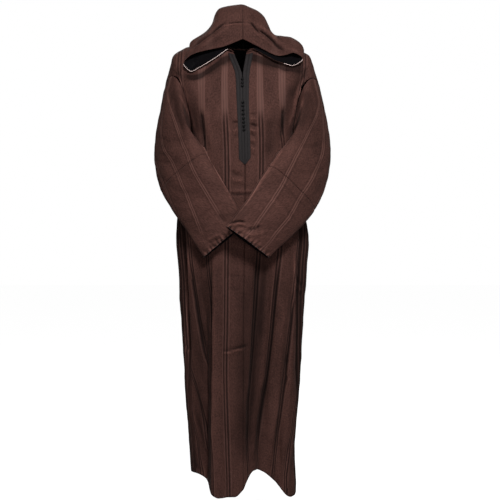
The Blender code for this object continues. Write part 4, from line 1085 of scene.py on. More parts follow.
def kept_clear(grid, tree):
    """The grid with the points that come too near the body moved out."""
    distance = CLOTH / 2 + CLEAR
    moved = grid.copy()
    for index in np.ndindex(grid.shape[:2]):
        point = Vector(grid[index])
        place, normal, _, _ = tree.find_nearest(point)
        height = (point - place).dot(normal)
        beside = (point - place - normal * height).length
        if height < distance and beside < BESIDE:
            moved[index] = point + normal * (distance - height)
    return moved


def hood_half(grids, side):
    """One half of the hood: rows from its mouth to its point, columns from the top seam to the neckline."""
    neck = halved(neckline(grids, side))
    shares = np.linspace(0, 1, len(neck))
    values = read_table(HOOD_ROWS[side], "share", HoodRow._fields[1:], shares)
    rows = [HoodRow(share, *row) for share, row in zip(shares, values)]
    return np.array([hood_section(row, point, SIDES[side]) for row, point in zip(rows, neck)])


def neckline(grids, side):
    """The neckline from the top of the slit round to the middle of the back."""
    count = neck_columns()
    return np.concatenate([grids[side, "front"][0, : count + 1], grids[side, "back"][0, count - 1 :: -1]])


def halved(line):
    """The line with a point added in the middle of each of its steps."""
    middles = (line[:-1] + line[1:]) / 2
    return np.concatenate([line[:1], np.stack([middles, line[1:]], axis=1).reshape(-1, 3)])


def hood_section(row, neck, sign):
    """The points across one half of the hood, from the middle at the top round the fold to the neckline."""
    y_high, y_mid = (
        row.crown_y + (row.fold_y - row.crown_y) * reach for reach in (HOOD_HIGH_REACH, HOOD_MID_REACH)
    )
    narrow = min(row.fold_x / HOOD_NARROW, 1)
    lean = smoothstep(HOOD_LEAN_FROM, HOOD_LEAN_TO, row.share) * math.pi / 2
    apart_y, apart_z = row.gap / 2 * math.sin(lean), row.gap / 2 * math.cos(lean)
    stand = HOOD_STAND_MOUTH + (1 - HOOD_STAND_MOUTH) * smoothstep(0, HOOD_STAND_SHARE, row.share)
    knots = np.array([
        (0, row.crown_y, row.crown_z),
        (sign * row.high_x, y_high, row.high_z),
        (sign * row.mid_x, y_mid, row.mid_z),
        (sign * (row.fold_x - HOOD_FOLD_OVER * narrow), row.fold_y + apart_y, row.fold_z + apart_z),
        (sign * row.fold_x, row.fold_y, row.fold_z),
        (sign * (row.fold_x - HOOD_FOLD_UNDER * narrow), row.fold_y - apart_y, row.fold_z - apart_z),
        (sign * row.low_x, row.low_y, row.low_z),
        neck + np.array([0, 0, HOOD_STAND * stand]),
        neck + np.array([0, 0, CLOTH + SEAM_GAP]),
    ])
    steps = np.maximum(np.linalg.norm(np.diff(knots, axis=0), axis=1), LEAST_STEP)
    length = np.concatenate([[0], np.cumsum(steps)])
    over = through(length, knots, np.linspace(0, length[HOOD_FOLD_KNOT], HOOD_CURVE_POINTS))
    under = through(length, knots, np.linspace(length[HOOD_FOLD_KNOT], length[-1], HOOD_CURVE_POINTS))
    over = along(over, np.append(np.linspace(0, 1 - HOOD_TURN, HOOD_OVER_COLUMNS), 1))
    under = along(under, np.insert(np.linspace(HOOD_TURN, 1, HOOD_UNDER_COLUMNS), 0, 0))
    return np.concatenate([over, under[1:]])


def hoods(grids, tree):
    """Both halves of the hood, resting clear of the body, with the normals that they share on their seam."""
    made = {}
    for side in SIDES:
        grid = hood_half(grids, side)
        grid[:, :-1] = kept_clear(grid[:, :-1], tree)
        normal = normals_of(on_middle(grid))
        grid = step_in(step_in(grid, "first", SEAM_GAP / 2), "bottom", SEAM_GAP / 2)
        made[side] = grid, unit(on_middle(normal))
    return made


def on_middle(grid):
    """The grid with its first column and last row set on the middle plane of the robe."""
    grid[:, 0, 0] = 0
    grid[-1, :, 0] = 0
    return grid


def between_rows(rows, places):
    """Rows of points at places that may lie between the given rows."""
    low = np.minimum(np.asarray(places).astype(int), len(rows) - 2)
    share = (places - low).reshape((-1,) + (1,) * (rows.ndim - 1))
    return rows[low] * (1 - share) + rows[low + 1] * share


def braid_strip(grid, normal):
    """The strip that the braid covers beside the slit, from the first two columns of a front panel."""
    strip, ways = grid[:, :2], normal[:, :2]
    heights = (-BRAID_END_Z - BRAID_POINT, -BRAID_END_Z)
    shoulder, end = np.interp(heights, -strip[:, 0, 2], np.arange(len(strip)))
    places = np.array([BRAID_TOP_ROW, *range(1, int(shoulder) + 1), shoulder, end])
    strip, ways = between_rows(strip, places), between_rows(ways, places)
    strip[-1, 1] = strip[-1, 0] + (strip[-1, 1] - strip[-1, 0]) * BRAID_TIP_SHARE
    return step_in(strip, "first", SEAM_GAP / 2), unit(ways)


def refined(grid, fine, closed=False):
    """The grid with more points on the same smooth surface. A closed grid's columns run on past the end."""
    rows, columns = grid.shape[:2]
    places = np.linspace(0, rows - 1, (rows - 1) * fine[0] + 1)
    grid = through(np.arange(rows), grid, places)
    if closed:
        grid = np.concatenate([grid[:, -RUN_ON:], grid, grid[:, : RUN_ON + 1]], axis=1)
        places = RUN_ON + np.arange(columns * fine[1]) / fine[1]
    else:
        places = np.linspace(0, columns - 1, (columns - 1) * fine[1] + 1)
    across = through(np.arange(grid.shape[1]), np.swapaxes(grid, 0, 1), places)
    return np.swapaxes(across, 0, 1)


def photo_places(points):
    """Where points of the robe show in the photograph, in its pixels."""
    depth = CAMERA_DISTANCE + points[..., 1]
    x = PHOTO_CENTRE + (points[..., 0] - CAMERA_X) * PHOTO_FOCAL / depth
    y = PHOTO_CENTRE - (points[..., 2] - CAMERA_Z) * PHOTO_FOCAL / depth
    return np.stack([x, y], axis=-1)


def crease_line(crease):
    """A smooth line through the three places of a crease."""
    first, middle, last = np.array(crease[:6], float).reshape(3, 2)
    t = np.linspace(0, 1, CREASE_POINTS)[:, None]
    control = 2 * middle - (first + last) / 2
    return (1 - t) ** 2 * first + 2 * t * (1 - t) * control + t**2 * last


def crease_rise(crease, line, spots):
    """How far a crease lifts the spots near it. It fades towards its ends."""
    starts, steps = line[:-1], np.diff(line, axis=0)
    offset = spots[:, None] - starts[None]
    share = np.clip(np.sum(offset * steps, axis=-1) / np.sum(steps**2, axis=-1), 0, 1)
    distance = np.linalg.norm(offset - share[..., None] * steps[None], axis=-1)
    nearest = distance.argmin(axis=1)
    rows = np.arange(len(spots))
    place = (nearest + share[rows, nearest]) / len(steps)
    fade = smoothstep(0, CREASE_FADE, place) * smoothstep(0, CREASE_FADE, 1 - place)
    shape = bell(distance[rows, nearest], crease.width) * (CREASE_END + (1 - CREASE_END) * fade)
    return crease.height * CREASE_STEP * shape


def crease_heights(places, creases, unit_size=PIXEL):
    """How far the creases lift each place, and how much painted shade and painted highlight they give it,
    both in metres.
    """
    lift, shade = np.zeros(places.shape[:-1]), np.zeros(places.shape[:-1])
    for crease in (Crease(*row) for row in creases):
        line = crease_line(crease)
        reach = CREASE_REACH * crease.width
        near = ((places > line.min(axis=0) - reach) & (places < line.max(axis=0) + reach)).all(axis=-1)
        if near.any():
            rise = crease_rise(crease, line, places[near])
            lift[near] += rise
            narrow = SHADED_WIDTH / (crease.width * unit_size)
            shade[near] += rise * min(max(narrow, SHADE_LEAST), SHADE_MOST)
    return lift, shade


def wave_lift(wave, u, v):
    """A gentle uneven wave over the cloth, the sum of a few even ones that run in seeded directions."""
    chance = np.random.default_rng(wave.seed)
    u, v = u * wave.across, v * wave.down
    total = np.zeros_like(u)
    for _ in range(WAVE_COUNT):
        turn, start = chance.uniform(0, math.pi), chance.uniform(0, 2 * math.pi)
        rate = 2 * math.pi / (wave.length * chance.uniform(*WAVE_SPREAD))
        total += np.sin(rate * (u * math.cos(turn) + v * math.sin(turn)) + start)
    return wave.height * (total / (WAVE_COUNT / 2))


def placed(name, data):
    """A new object in the scene."""
    made = bpy.data.objects.new(name, data)
    bpy.context.scene.collection.objects.link(made)
    return made


def smooth_piece(name, points, faces, looks):
    """A new smooth mesh object with its looks."""
    mesh = bpy.data.meshes.new(name)
    mesh.from_pydata(points, [], faces)
    mesh.update()
    mesh.shade_smooth()
    for look in looks:
        mesh.materials.append(look)
    return placed(name, mesh)


def faces_out(corners, points, normals):
    """Whether the faces turn the way that the normals point."""
    a, b, c = (points[corners[:, k]] for k in range(3))
    return np.sum(np.cross(b - a, c - a) * normals[corners[:, 0]]) >= 0


def cloth_piece(name, grid, normals, coordinates, looks, without=None, thickness=SHELL):
    """A shell of cloth about a grid of points, with looks for its outside, its inside and its cut edges.

    Coordinates holds named pairs of cloth coordinates for the looks.
    """
    corners = cell_corners(*grid.shape[:2], without)
    points = grid.reshape(-1, 3)
    if not faces_out(corners, points, normals.reshape(-1, 3)):
        corners = corners[:, ::-1]
    used, faces = np.unique(corners, return_inverse=True)
    piece = smooth_piece(name, points[used].tolist(), faces.reshape(-1, 4).tolist(), looks)
    for layer, pair in coordinates.items():
        values = np.stack(pair, axis=-1).reshape(-1, 2)[corners.ravel()]
        piece.data.uv_layers.new(name=layer).data.foreach_set("uv", values.astype(np.float32).ravel())
    solid = piece.modifiers.new("thickness", "SOLIDIFY")
    solid.thickness = thickness
    solid.offset = 0
    solid.material_offset = min(1, len(looks) - 1)
    solid.material_offset_rim = len(looks) - 1
    return piece


def finish_piece(piece, slot, *nodes):
    """Makes a piece ride on the robe and stand for its solids. Its slot is not used."""
    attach(piece, "root")
    if nodes:
        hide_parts(*nodes)


def satin(points):
    """How strongly the painted sheen of the satin stripes shows, which it does above the chest."""
    high = smoothstep(SATIN_FROM_Z, SATIN_FULL_Z, points[..., 2])
    return high * (1 - SATIN_LOSS * smoothstep(*SATIN_WIDE, np.abs(points[..., 0])))


def seam_valley(distance):
    """How far the cloth sinks at a distance from a seam, between two low lips."""
    valley = -SEAM_DEPTH * bell(distance, SEAM_WIDTH)
    return valley + SEAM_LIP * SEAM_DEPTH * bell(distance - SEAM_LIP_AT, SEAM_LIP_WIDTH)


def stripe_count(grid, level, side):
    """The stripe coordinate of a front quarter: a whole number along the middle of each stripe."""
    middle = read_table(MIDDLE, "z", ("x",), grid[..., 2])[..., 0]
    away = SIDES[side] * (grid[..., 0] - middle)
    places = read_table(STRIPES[side], "z", StripeLine._fields[1:], grid[..., 2])
    count = np.empty_like(level)
    for i, row in enumerate(level):
        marks = [0.0]
        for k in range(places.shape[-1]):
            past = np.nonzero(away[i] > places[i, :, k])[0]
            if not len(past) or past[0] == 0:
                break
            j = past[0]
            before, after = places[i, j - 1, k] - away[i, j - 1], places[i, j, k] - away[i, j]
            marks.append(row[j - 1] + (row[j] - row[j - 1]) * before / (before - after))
        first = marks[1] if len(marks) > 1 else FIRST_STRIPE
        numbers = [1 - first / STRIPE_SPACING, *range(1, len(marks))]
        known = marks + [marks[-1] + STRIPE_SPACING * MORE_STRIPES]
        count[i] = np.interp(row, known, numbers + [numbers[-1] + MORE_STRIPES])
    return count

def cloth_layers(across, down, count, painted_sheen, shade, faded=0):
    """The named pairs of coordinates that the looks of the cloth read."""
    return {
        "cloth": (across, down),
        "stripes": (count, painted_sheen + 0 * count),
        # The relief pair holds the painted shade and painted highlight of the cloth, and how far its stripes
        # fade
        "relief": (shade, faded + 0 * shade),
    }


def body_surface(grid, ways, side, face):
    """A fine quarter of the body, with the lift, stripes and painted shade of the cloth on it."""
    fine, ways = refined(grid, BODY_FINE), unit(refined(ways, BODY_FINE))
    level, across, down = lengths(fine[..., :2], axis=1), lengths(fine, axis=1), lengths(fine)
    seen = smoothstep(*SEEN_BODY, ways[..., 1] * FACES[face])
    if face == "front":
        lift, shade = (part * seen for part in crease_heights(photo_places(fine), FRONT_CREASES))
        # Painted shadows and painted light from the front's shading table
        shade = shade + crease_heights(photo_places(fine), FRONT_PAINTED_SHADING)[1]
        count = stripe_count(fine, level, side)
        calm = 1 - bell(across, CALM_WIDTH)
    else:
        lift, shade = (part * seen for part in crease_heights(fine[..., ::2], BACK_CREASES, 1))
        count = 0.5 + level / STRIPE_SPACING
        calm = 1
    x, y, z = np.moveaxis(fine, -1, 0)
    lift = lift + calm * wave_lift(BODY_WAVE, x, z)
    lift = lift + calm * wave_lift(BODY_RIPPLE, x * 2 + y, z)
    return Surface(fine, ways, lift, count, across, down, shade)


def panel_edges(across, seams, ends):
    """The valleys at the side seams below the chest line, and at the armholes and shoulders above it."""
    lift = np.zeros_like(across)
    for rows, columns in ((slice(FINE_BELOW, None), seams), (slice(FINE_BELOW), ends)):
        for place in columns:
            lift[rows] += seam_valley(np.abs(across - across[:, [place]]))[rows]
    return lift


def front_cloth(side, surface, looks):
    """The visible front half on one side, without the cells of the side panel."""
    points, ways, lift, count, across, down, shade = surface
    lift = lift + seam_valley(across) + panel_edges(across, (FINE_EDGE,), (-1,))
    points = step_in(points + ways * lift[..., None], "first", SEAM_OPEN)
    without = np.zeros(np.array(count.shape) - 1, bool)
    without[FINE_BELOW:, FINE_EDGE:] = True
    layers = cloth_layers(across, down, count, satin(points), shade)
    return cloth_piece(f"front_{side}_cloth", points, ways, layers, looks, without)


def side_cloth(side, front, back, looks):
    """The visible side panel, from its seam on the front round to its seam on the back."""
    points, ways, lift, *_, shade = (
        np.concatenate([a[FINE_BELOW:, FINE_EDGE:], b[FINE_BELOW:, FINE_EDGE:-1][:, ::-1]], axis=1)
        for a, b in zip(front, back)
    )
    across = lengths(points, axis=1)
    lift = lift + seam_valley(across) + seam_valley(across[:, -1:] - across)
    count = SIDE_FIRST_STRIPE + lengths(points[..., :2], axis=1) / STRIPE_SPACING
    layers = cloth_layers(across, lengths(points), count, 0, shade)
    return cloth_piece(f"side_{side}_cloth", points + ways * lift[..., None], ways, layers, looks)


def back_cloth(right, left, looks):
    """The visible back, from one side seam to the other."""
    points, ways, lift, _, _, down, shade = (
        np.concatenate([a[:, :0:-1], b], axis=1) for a, b in zip(right, left)
    )
    across = np.concatenate([-right.across[:, :0:-1], left.across], axis=1)
    count = np.concatenate([1 - right.count[:, :0:-1], left.count], axis=1)
    middle = left.count.shape[1] - 1
    seams = middle - FINE_EDGE, middle + FINE_EDGE
    lift = lift + panel_edges(np.abs(across), seams, (0, -1))
    without = np.zeros(np.array(count.shape) - 1, bool)
    without[FINE_BELOW:, : seams[0]] = True
    without[FINE_BELOW:, seams[1] :] = True
    layers = cloth_layers(across, down, count, satin(points), shade)
    return cloth_piece("back_cloth", points + ways * lift[..., None], ways, layers, looks, without)


def body_cloths(surfaces, looks, painted_shade_side_looks):
    """The visible front halves, side panels and back."""
    made = {}
    for side in SIDES:
        front, back = surfaces[side, "front"], surfaces[side, "back"]
        made["front_" + side] = front_cloth(side, front, looks)
        made["side_" + side] = side_cloth(side, front, back, painted_shade_side_looks)
    made["back"] = back_cloth(surfaces["right", "back"], surfaces["left", "back"], looks)
    return made


def stripe_marks(places, front, signed, line):
    """Where one stripe of the photograph crosses each row of a sleeve, or nothing where it isn't seen."""
    x, y = np.array(line, float).T
    away = places[..., 0] - np.interp(places[..., 1], y, x)
    shown = front & (places[..., 1] > y[0]) & (places[..., 1] < y[-1])
    found = np.full(len(places), np.nan)
    for i, row in enumerate(away):
        crossed = np.nonzero((row[:-1] * row[1:] <= 0) & shown[i, :-1] & shown[i, 1:])[0]
        if len(crossed):
            j = crossed[0]
            share = row[j] / (row[j] - row[j + 1])
            found[i] = signed[i, j] + share * (signed[i, j + 1] - signed[i, j])
    return found


def sleeve_count(points, ways, signed, side):
    """The stripe coordinate of a sleeve: a whole number along each stripe that the photograph shows."""
    places, front = photo_places(points), ways[..., 1] < 0
    marks = [stripe_marks(places, front, signed, line) for line in SLEEVE_STRIPES[side]]
    inner = np.where(front, SIDES[side] * places[..., 0], np.inf).argmin(axis=1)
    rows = np.arange(len(points))
    edge = signed[rows, inner]
    marks.append(edge + EDGE_STRIPE[side] * np.sign(np.nanmean(marks[-1]) - np.mean(edge)))
    for k, found in enumerate(marks):
        known = ~np.isnan(found)
        ends = np.pad(np.interp(rows, rows[known], found[known]), STRIPE_EASE, mode="edge")
        width = 2 * STRIPE_EASE + 1
        marks[k] = np.convolve(ends, np.ones(width) / width, mode="valid")
    marks = np.sort(marks, axis=0)
    more, last = MORE_STRIPES * STRIPE_SPACING, len(marks) - 1
    count = np.empty_like(signed)
    for i in rows:
        known = [marks[0, i] - more, *marks[:, i], marks[-1, i] + more]
        count[i] = np.interp(signed[i], known, [-MORE_STRIPES, *range(len(marks)), last + MORE_STRIPES])
    return count


def sleeve_surface(grids, body_normals, tree, side):
    """A fine sleeve with its normals, opened along a seam behind, and its distances round and down."""
    (upper, upper_ways), (lower, lower_ways) = sleeves(grids, body_normals, tree, side)
    whole = np.concatenate([upper[:-1], (upper[-1:] + lower[:1]) / 2, lower[1:]])
    ways = np.concatenate([upper_ways, lower_ways[1:]])
    fine, ways = (refined(part, SLEEVE_FINE, closed=True) for part in (whole, ways))
    columns = fine.shape[1]
    arc = lengths(np.concatenate([fine, fine[:, :1]], axis=1), axis=1)
    seam = int(columns * SLEEVE_SEAM)
    order = np.arange(seam, seam + columns + 1) % columns
    around = np.concatenate([arc[:, seam:columns] - arc[:, -1:], arc[:, : seam + 1]], axis=1)
    return fine[:, order], unit(ways)[:, order], around, lengths(fine[:, order])


def sleeve_relief(side, points, ways, around, down):
    """How far creases, waves, seams, hem and puckers lift a sleeve, and how much painted shade and painted
    highlight they give it.
    """
    places = photo_places(points)
    shown = smoothstep(*SEEN_SLEEVE, -ways[..., 1]) + BEHIND_SHARE * smoothstep(*SEEN_BEHIND, ways[..., 1])
    lift, shade = (part * shown for part in crease_heights(places, SLEEVE_CREASES[side]))
    # Painted shadows and painted highlights from the sleeves' shading table
    shade = shade + crease_heights(places, SLEEVE_PAINTED_SHADING)[1] * (ways[..., 1] < SLEEVE_SHADED)
    fade = smoothstep(0, SLEEVE_CALM, down)
    lift = lift + wave_lift(SLEEVE_WAVES[side], around, down) * fade
    lift = lift + wave_lift(SLEEVE_RIPPLE, around, down) * fade
    lift = lift + seam_valley(down) + seam_valley(np.abs(down - down[SLEEVE_JOIN]))
    cuff = down[-1:] - down
    for height, place, width in CUFF_LINES:
        lift = lift + height * bell(cuff - place, width)
    pucker = wave_lift(PUCKER, around, cuff) * bell(cuff, PUCKER_REACH)
    # The puckers get painted shade in their hollows and a painted highlight on their tops
    return lift + PUCKER_LIFT * pucker, shade + PUCKER_SHADE * pucker


def sleeve_cloths(grids, body_normals, tree, side, looks):
    """The two visible parts of a sleeve, each open along a seam behind, with its creases and stripes."""
    points, ways, around, down = sleeve_surface(grids, body_normals, tree, side)
    count = sleeve_count(points, ways, around, side)
    lift, shade = sleeve_relief(side, points, ways, around, down)
    near, far, most = STRIPE_FADE[side]
    faded = most * (1 - smoothstep(near, far, down[-1:] - down))
    points = points + ways * lift[..., None]
    parts = {"upper": slice(SLEEVE_JOIN + 1), "lower": slice(SLEEVE_JOIN, None)}
    made = {}
    for part, rows in parts.items():
        name = f"sleeve_{part}_{side}"
        layers = cloth_layers(around[rows], down[rows], count[rows], 0, shade[rows], faded[rows])
        cut = step_in(points[rows], "top", SEAM_OPEN)
        if part == "upper":
            cut = step_in(cut, "bottom", SEAM_OPEN)
        made[name] = cloth_piece(name + "_cloth", cut, ways[rows], layers, looks)
    return made, points, ways


def hood_cloth(side, grid, normal, looks):
    """The visible half of the hood on one side, with its creases and stripes."""
    grid[:, 0, 0] = 0
    fine, ways = refined(grid, HOOD_FINE), unit(refined(normal, HOOD_FINE))
    over = slice(HOOD_OVER_COLUMNS * HOOD_FINE[1])
    ways *= np.sign(np.sum(ways[:, over] * (fine[:, over] - HOOD_MIDDLE)))
    across, down = lengths(fine, axis=1), lengths(fine)
    places = photo_places(fine)
    shown = smoothstep(*SEEN_HOOD, ways[..., 2] - HOOD_TILT * ways[..., 1])
    lift, shade = (part * shown for part in crease_heights(places, HOOD_CREASES))
    # Painted shadows from the hood's shading table
    shade = shade + crease_heights(places, HOOD_PAINTED_SHADING)[1] * shown
    lift = lift + wave_lift(HOOD_WAVES[side], across, down) * smoothstep(0, HOOD_CALM, across)
    lift = lift + seam_valley(across)
    points = step_in(fine + ways * lift[..., None], "first", SEAM_OPEN)
    count = np.maximum(1 + (across - HOOD_FIRST_STRIPE) / STRIPE_SPACING, 0.5)
    layers = cloth_layers(across, down, count, satin(points), shade)
    return cloth_piece(f"hood_{side}_cloth", points, ways, layers, looks), points, ways


def tube(name, lines, radius, look, sides=6, closed=False):
    """One mesh of round threads or cords along lines of points."""
    points, faces = [], []
    turns = np.linspace(0, 2 * math.pi, sides, endpoint=False)[None, :, None]
    for line in lines:
        if closed:
            ahead = unit(np.roll(line, -1, axis=0) - np.roll(line, 1, axis=0))
        else:
            ahead = unit(np.gradient(line, axis=0))
        helper = np.where(np.abs(ahead[:, 2:3]) > STEEP, np.array([[0.0, 1, 0]]), np.array([[0.0, 0, 1]]))
        first = unit(np.cross(ahead, helper))
        second = np.cross(ahead, first)
        around = np.cos(turns) * first[:, None] + np.sin(turns) * second[:, None]
        rings = line[:, None] + radius * around
        start, count = len(points), len(line)
        points += rings.reshape(-1, 3).tolist()
        for i in range(count if closed else count - 1):
            here, after = start + i * sides, start + (i + 1) % count * sides
            for k in range(sides):
                m = (k + 1) % sides
                faces.append((here + k, here + m, after + m, after + k))
        if not closed:
            faces.append([start + k for k in range(sides)][::-1])
            faces.append([start + (count - 1) * sides + k for k in range(sides)])
    return smooth_piece(name, points, faces, [look])


def stitches(line, ways, stitch):
    """Short threads along a line of points, raised a little from the cloth."""
    whole = lengths(line)
    made = []
    for start in np.arange(stitch.spacing / 2, whole[-1] - stitch.length, stitch.spacing):
        places = start + STITCH_PLACES * stitch.length
        rise = stitch.height * STITCH_HEIGHTS[:, None]
        made.append(at_lengths(places, whole, line) + unit(at_lengths(places, whole, ways)) * rise)
    return made


def braid_piece(side, grid, normal, look):
    """The braid beside the slit: two plaited tracks with small chevrons and an overcast outer edge."""
    strip, ways = braid_strip(grid, normal)
    strip = strip + ways * (CLOTH / 2 + BRAID_GAP + BRAID_THICK / 2)
    length = lengths(strip[:, 0])
    rows = np.linspace(0, length[-1], BRAID_ROWS)
    across = np.linspace(0, 1, BRAID_COLUMNS)
    inner, outer, up = (
        at_lengths(rows, length, line) for line in (strip[:, 0], strip[:, 1], unit(ways[:, 0] + ways[:, 1]))
    )
    track = across * BRAID_TRACKS % 1
    hump = np.sin(math.pi * track) ** BRAID_ROUND
    slant = np.abs(track - 0.5) * CHEVRON_SLANT
    cord = 0.5 + 0.5 * np.cos(2 * math.pi * (rows[:, None] / CHEVRON_SPACING + slant))
    relief = BRAID_RELIEF * hump * (1 - CHEVRON_SHARE + CHEVRON_SHARE * cord)
    overcast = 0.5 + 0.5 * np.cos(2 * math.pi * rows / OVERCAST_SPACING)[:, None]
    edge = bell(across - 1, OVERCAST_REACH)
    relief = relief + OVERCAST_LIFT * edge * overcast
    points = inner[:, None] + (outer - inner)[:, None] * across[None, :, None]
    points = points + up[:, None] * (relief - BRAID_RELIEF * BRAID_SUNK)[..., None]
    points = points + unit(outer - inner)[:, None] * (OVERCAST_OUT * edge * (overcast - 0.5))[..., None]
    shape = relief.shape
    layers = {
        "cloth": (np.broadcast_to(across * BRAID_WIDTH, shape), np.broadcast_to(rows[:, None], shape)),
        "braid": (np.broadcast_to(track, shape), relief / BRAID_RELIEF),
    }
    ways = np.broadcast_to(up[:, None], points.shape)
    name, thickness = f"braid_{side}_trim", BRAID_THICK * BRAID_SOLID
    return cloth_piece(name, points, ways, layers, [look], thickness=thickness)


def knot_centres(grids, normals):
    """The middle of each round knot in front of the braid, and the way that it faces."""
    edge, ways = grids["left", "front"][:, 0], normals["left", "front"][:, 0]
    places = np.interp([-z for z in KNOT_HEIGHTS], -edge[:, 2], np.arange(len(edge)))
    height = CLOTH / 2 + BRAID_GAP + BRAID_THICK + SEAM_GAP + KNOT_DEEP
    ways = unit(between_rows(ways, places))
    return between_rows(edge, places) + ways * height, ways


def knot_line():
    """The closed path of the cord in a woven round knot about the origin."""
    t = np.linspace(0, 2 * math.pi, KNOT_POINTS, endpoint=False)
    around, up = KNOT_ROUNDS * t, KNOT_SWING * np.sin(KNOT_WAVES * t)
    radius = 1 + KNOT_WEAVE * np.cos(2 * KNOT_WAVES * t)
    flat = radius * np.cos(up)
    ball = np.stack([flat * np.cos(around), radius * np.sin(up), flat * np.sin(around)], axis=1)
    return ball * np.array([KNOT_WIDE, KNOT_DEEP, KNOT_HIGH]) * KNOT_PATH


def loop_line():
    """The open loop of cord that holds a knot, about the knot's middle."""
    turn = np.linspace(-LOOP_TURN, LOOP_TURN, LOOP_POINTS)
    x, z = np.cos(turn), np.sin(turn)
    return np.stack([-LOOP_WIDE * x, 0 * turn - LOOP_BACK, LOOP_HIGH * z - LOOP_SLANT * x], axis=1)


class Shader:
    """A node material built up by short calls."""

    def __init__(self, name):
        self.material = bpy.data.materials.new(name)
        self.material.use_nodes = True
        self.tree = self.material.node_tree
        self.surface = self.tree.nodes["Principled BSDF"]

    def node(self, kind, inputs=None, **settings):
        made = self.tree.nodes.new("ShaderNode" + kind)
        for key, value in settings.items():
            setattr(made, key, value)
        for key, value in (inputs or {}).items():
            self.feed(made.inputs[key], value)
        return made

    def feed(self, socket, value):
        if isinstance(value, bpy.types.NodeSocket):
            self.tree.links.new(value, socket)
        else:
            socket.default_value = value

    def math(self, operation, a, b=0.0):
        return self.node("Math", {0: a, 1: b}, operation=operation).outputs[0]

    def weighted(self, start, *pairs):
        """The start plus each value times its share."""
        for value, share in pairs:
            start = self.math("ADD", start, self.math("MULTIPLY", value, share))
        return start

    def coordinate(self, layer):
        return self.node("UVMap", uv_map=layer).outputs["UV"]

    def object_place(self):
        return self.node("TexCoord").outputs["Object"]

    def parts(self, vector):
        return self.node("SeparateXYZ", {0: vector}).outputs

    def noise(self, vector, fibre):
        stretched = self.node("VectorMath", {0: vector, 1: fibre.rates}, operation="MULTIPLY").outputs[0]
        inputs = {"Vector": stretched, "Scale": 1.0, "Detail": fibre.detail, "Roughness": fibre.roughness}
        return self.node("TexNoise", inputs).outputs["Fac"]

    def ramp(self, value, *stops):
        made = self.node("ValToRGB", {"Fac": value})
        elements = made.color_ramp.elements
        while len(elements) < len(stops):
            elements.new(1.0)
        for element, (place, shade) in zip(elements, stops):
            element.position = place
            element.color = (shade, shade, shade, 1) if isinstance(shade, float) else (*shade, 1)
        return made.outputs["Color"]

    def mix(self, share, a, b, blend="MIX"):
        inputs = {"Factor": share, 6: a, 7: b}
        return self.node("Mix", inputs, data_type="RGBA", blend_type=blend).outputs[2]

    def bump(self, height, distance, strength, normal=None):
        inputs = {"Height": height, "Distance": distance, "Strength": strength}
        if normal is not None:
            inputs["Normal"] = normal
        return self.node("Bump", inputs).outputs["Normal"]

    def finished(self, inputs):
        """The material, with its surface fed from named inputs."""
        for key, value in inputs.items():
            self.feed(self.surface.inputs[key], value)
        return self.material


def stripe_shares(look, bands, painted_sheen, kept):
    """How far the pale bands, with their painted sheen, and the dark bands of the stripes show."""
    stripe = look.parts(look.coordinate("stripes"))[0]
    distance = look.math("MULTIPLY", look.math("PINGPONG", stripe, 0.5), STRIPE_SPACING / STRIPE_REACH)
    broad = look.math("MULTIPLY", look.ramp(distance, *bands.satin), painted_sheen)
    pale = look.math("MULTIPLY", look.math("MAXIMUM", broad, look.ramp(distance, *bands.pale)), kept)
    dull = look.math("SUBTRACT", 1.0, look.math("MULTIPLY", painted_sheen, SATIN_DULLS))
    return pale, look.math("MULTIPLY", look.ramp(distance, *bands.dark), look.math("MULTIPLY", dull, kept))


def weave_normal(look, cloth, speck, stripes):
    """A diagonal twill on small ripples and puckers, with a looser satin float on the stripes."""
    x, y, _ = look.parts(cloth)
    turn = 2 * math.pi / WEAVE_SPACING
    rib = look.math("SINE", look.math("MULTIPLY", look.math("ADD", x, y), turn))
    cross = look.math("SINE", look.math("MULTIPLY", y, turn * CROSS_RATE))
    shares = zip((rib, cross, speck, stripes), WEAVE_SHARES)
    normal = look.bump(look.noise(cloth, RIPPLE), *RIPPLE_BUMP)
    normal = look.bump(look.noise(cloth, SMALL_PUCKER), *PUCKER_BUMP, normal)
    return look.bump(look.weighted(0.0, *shares), *WEAVE_BUMP, normal)


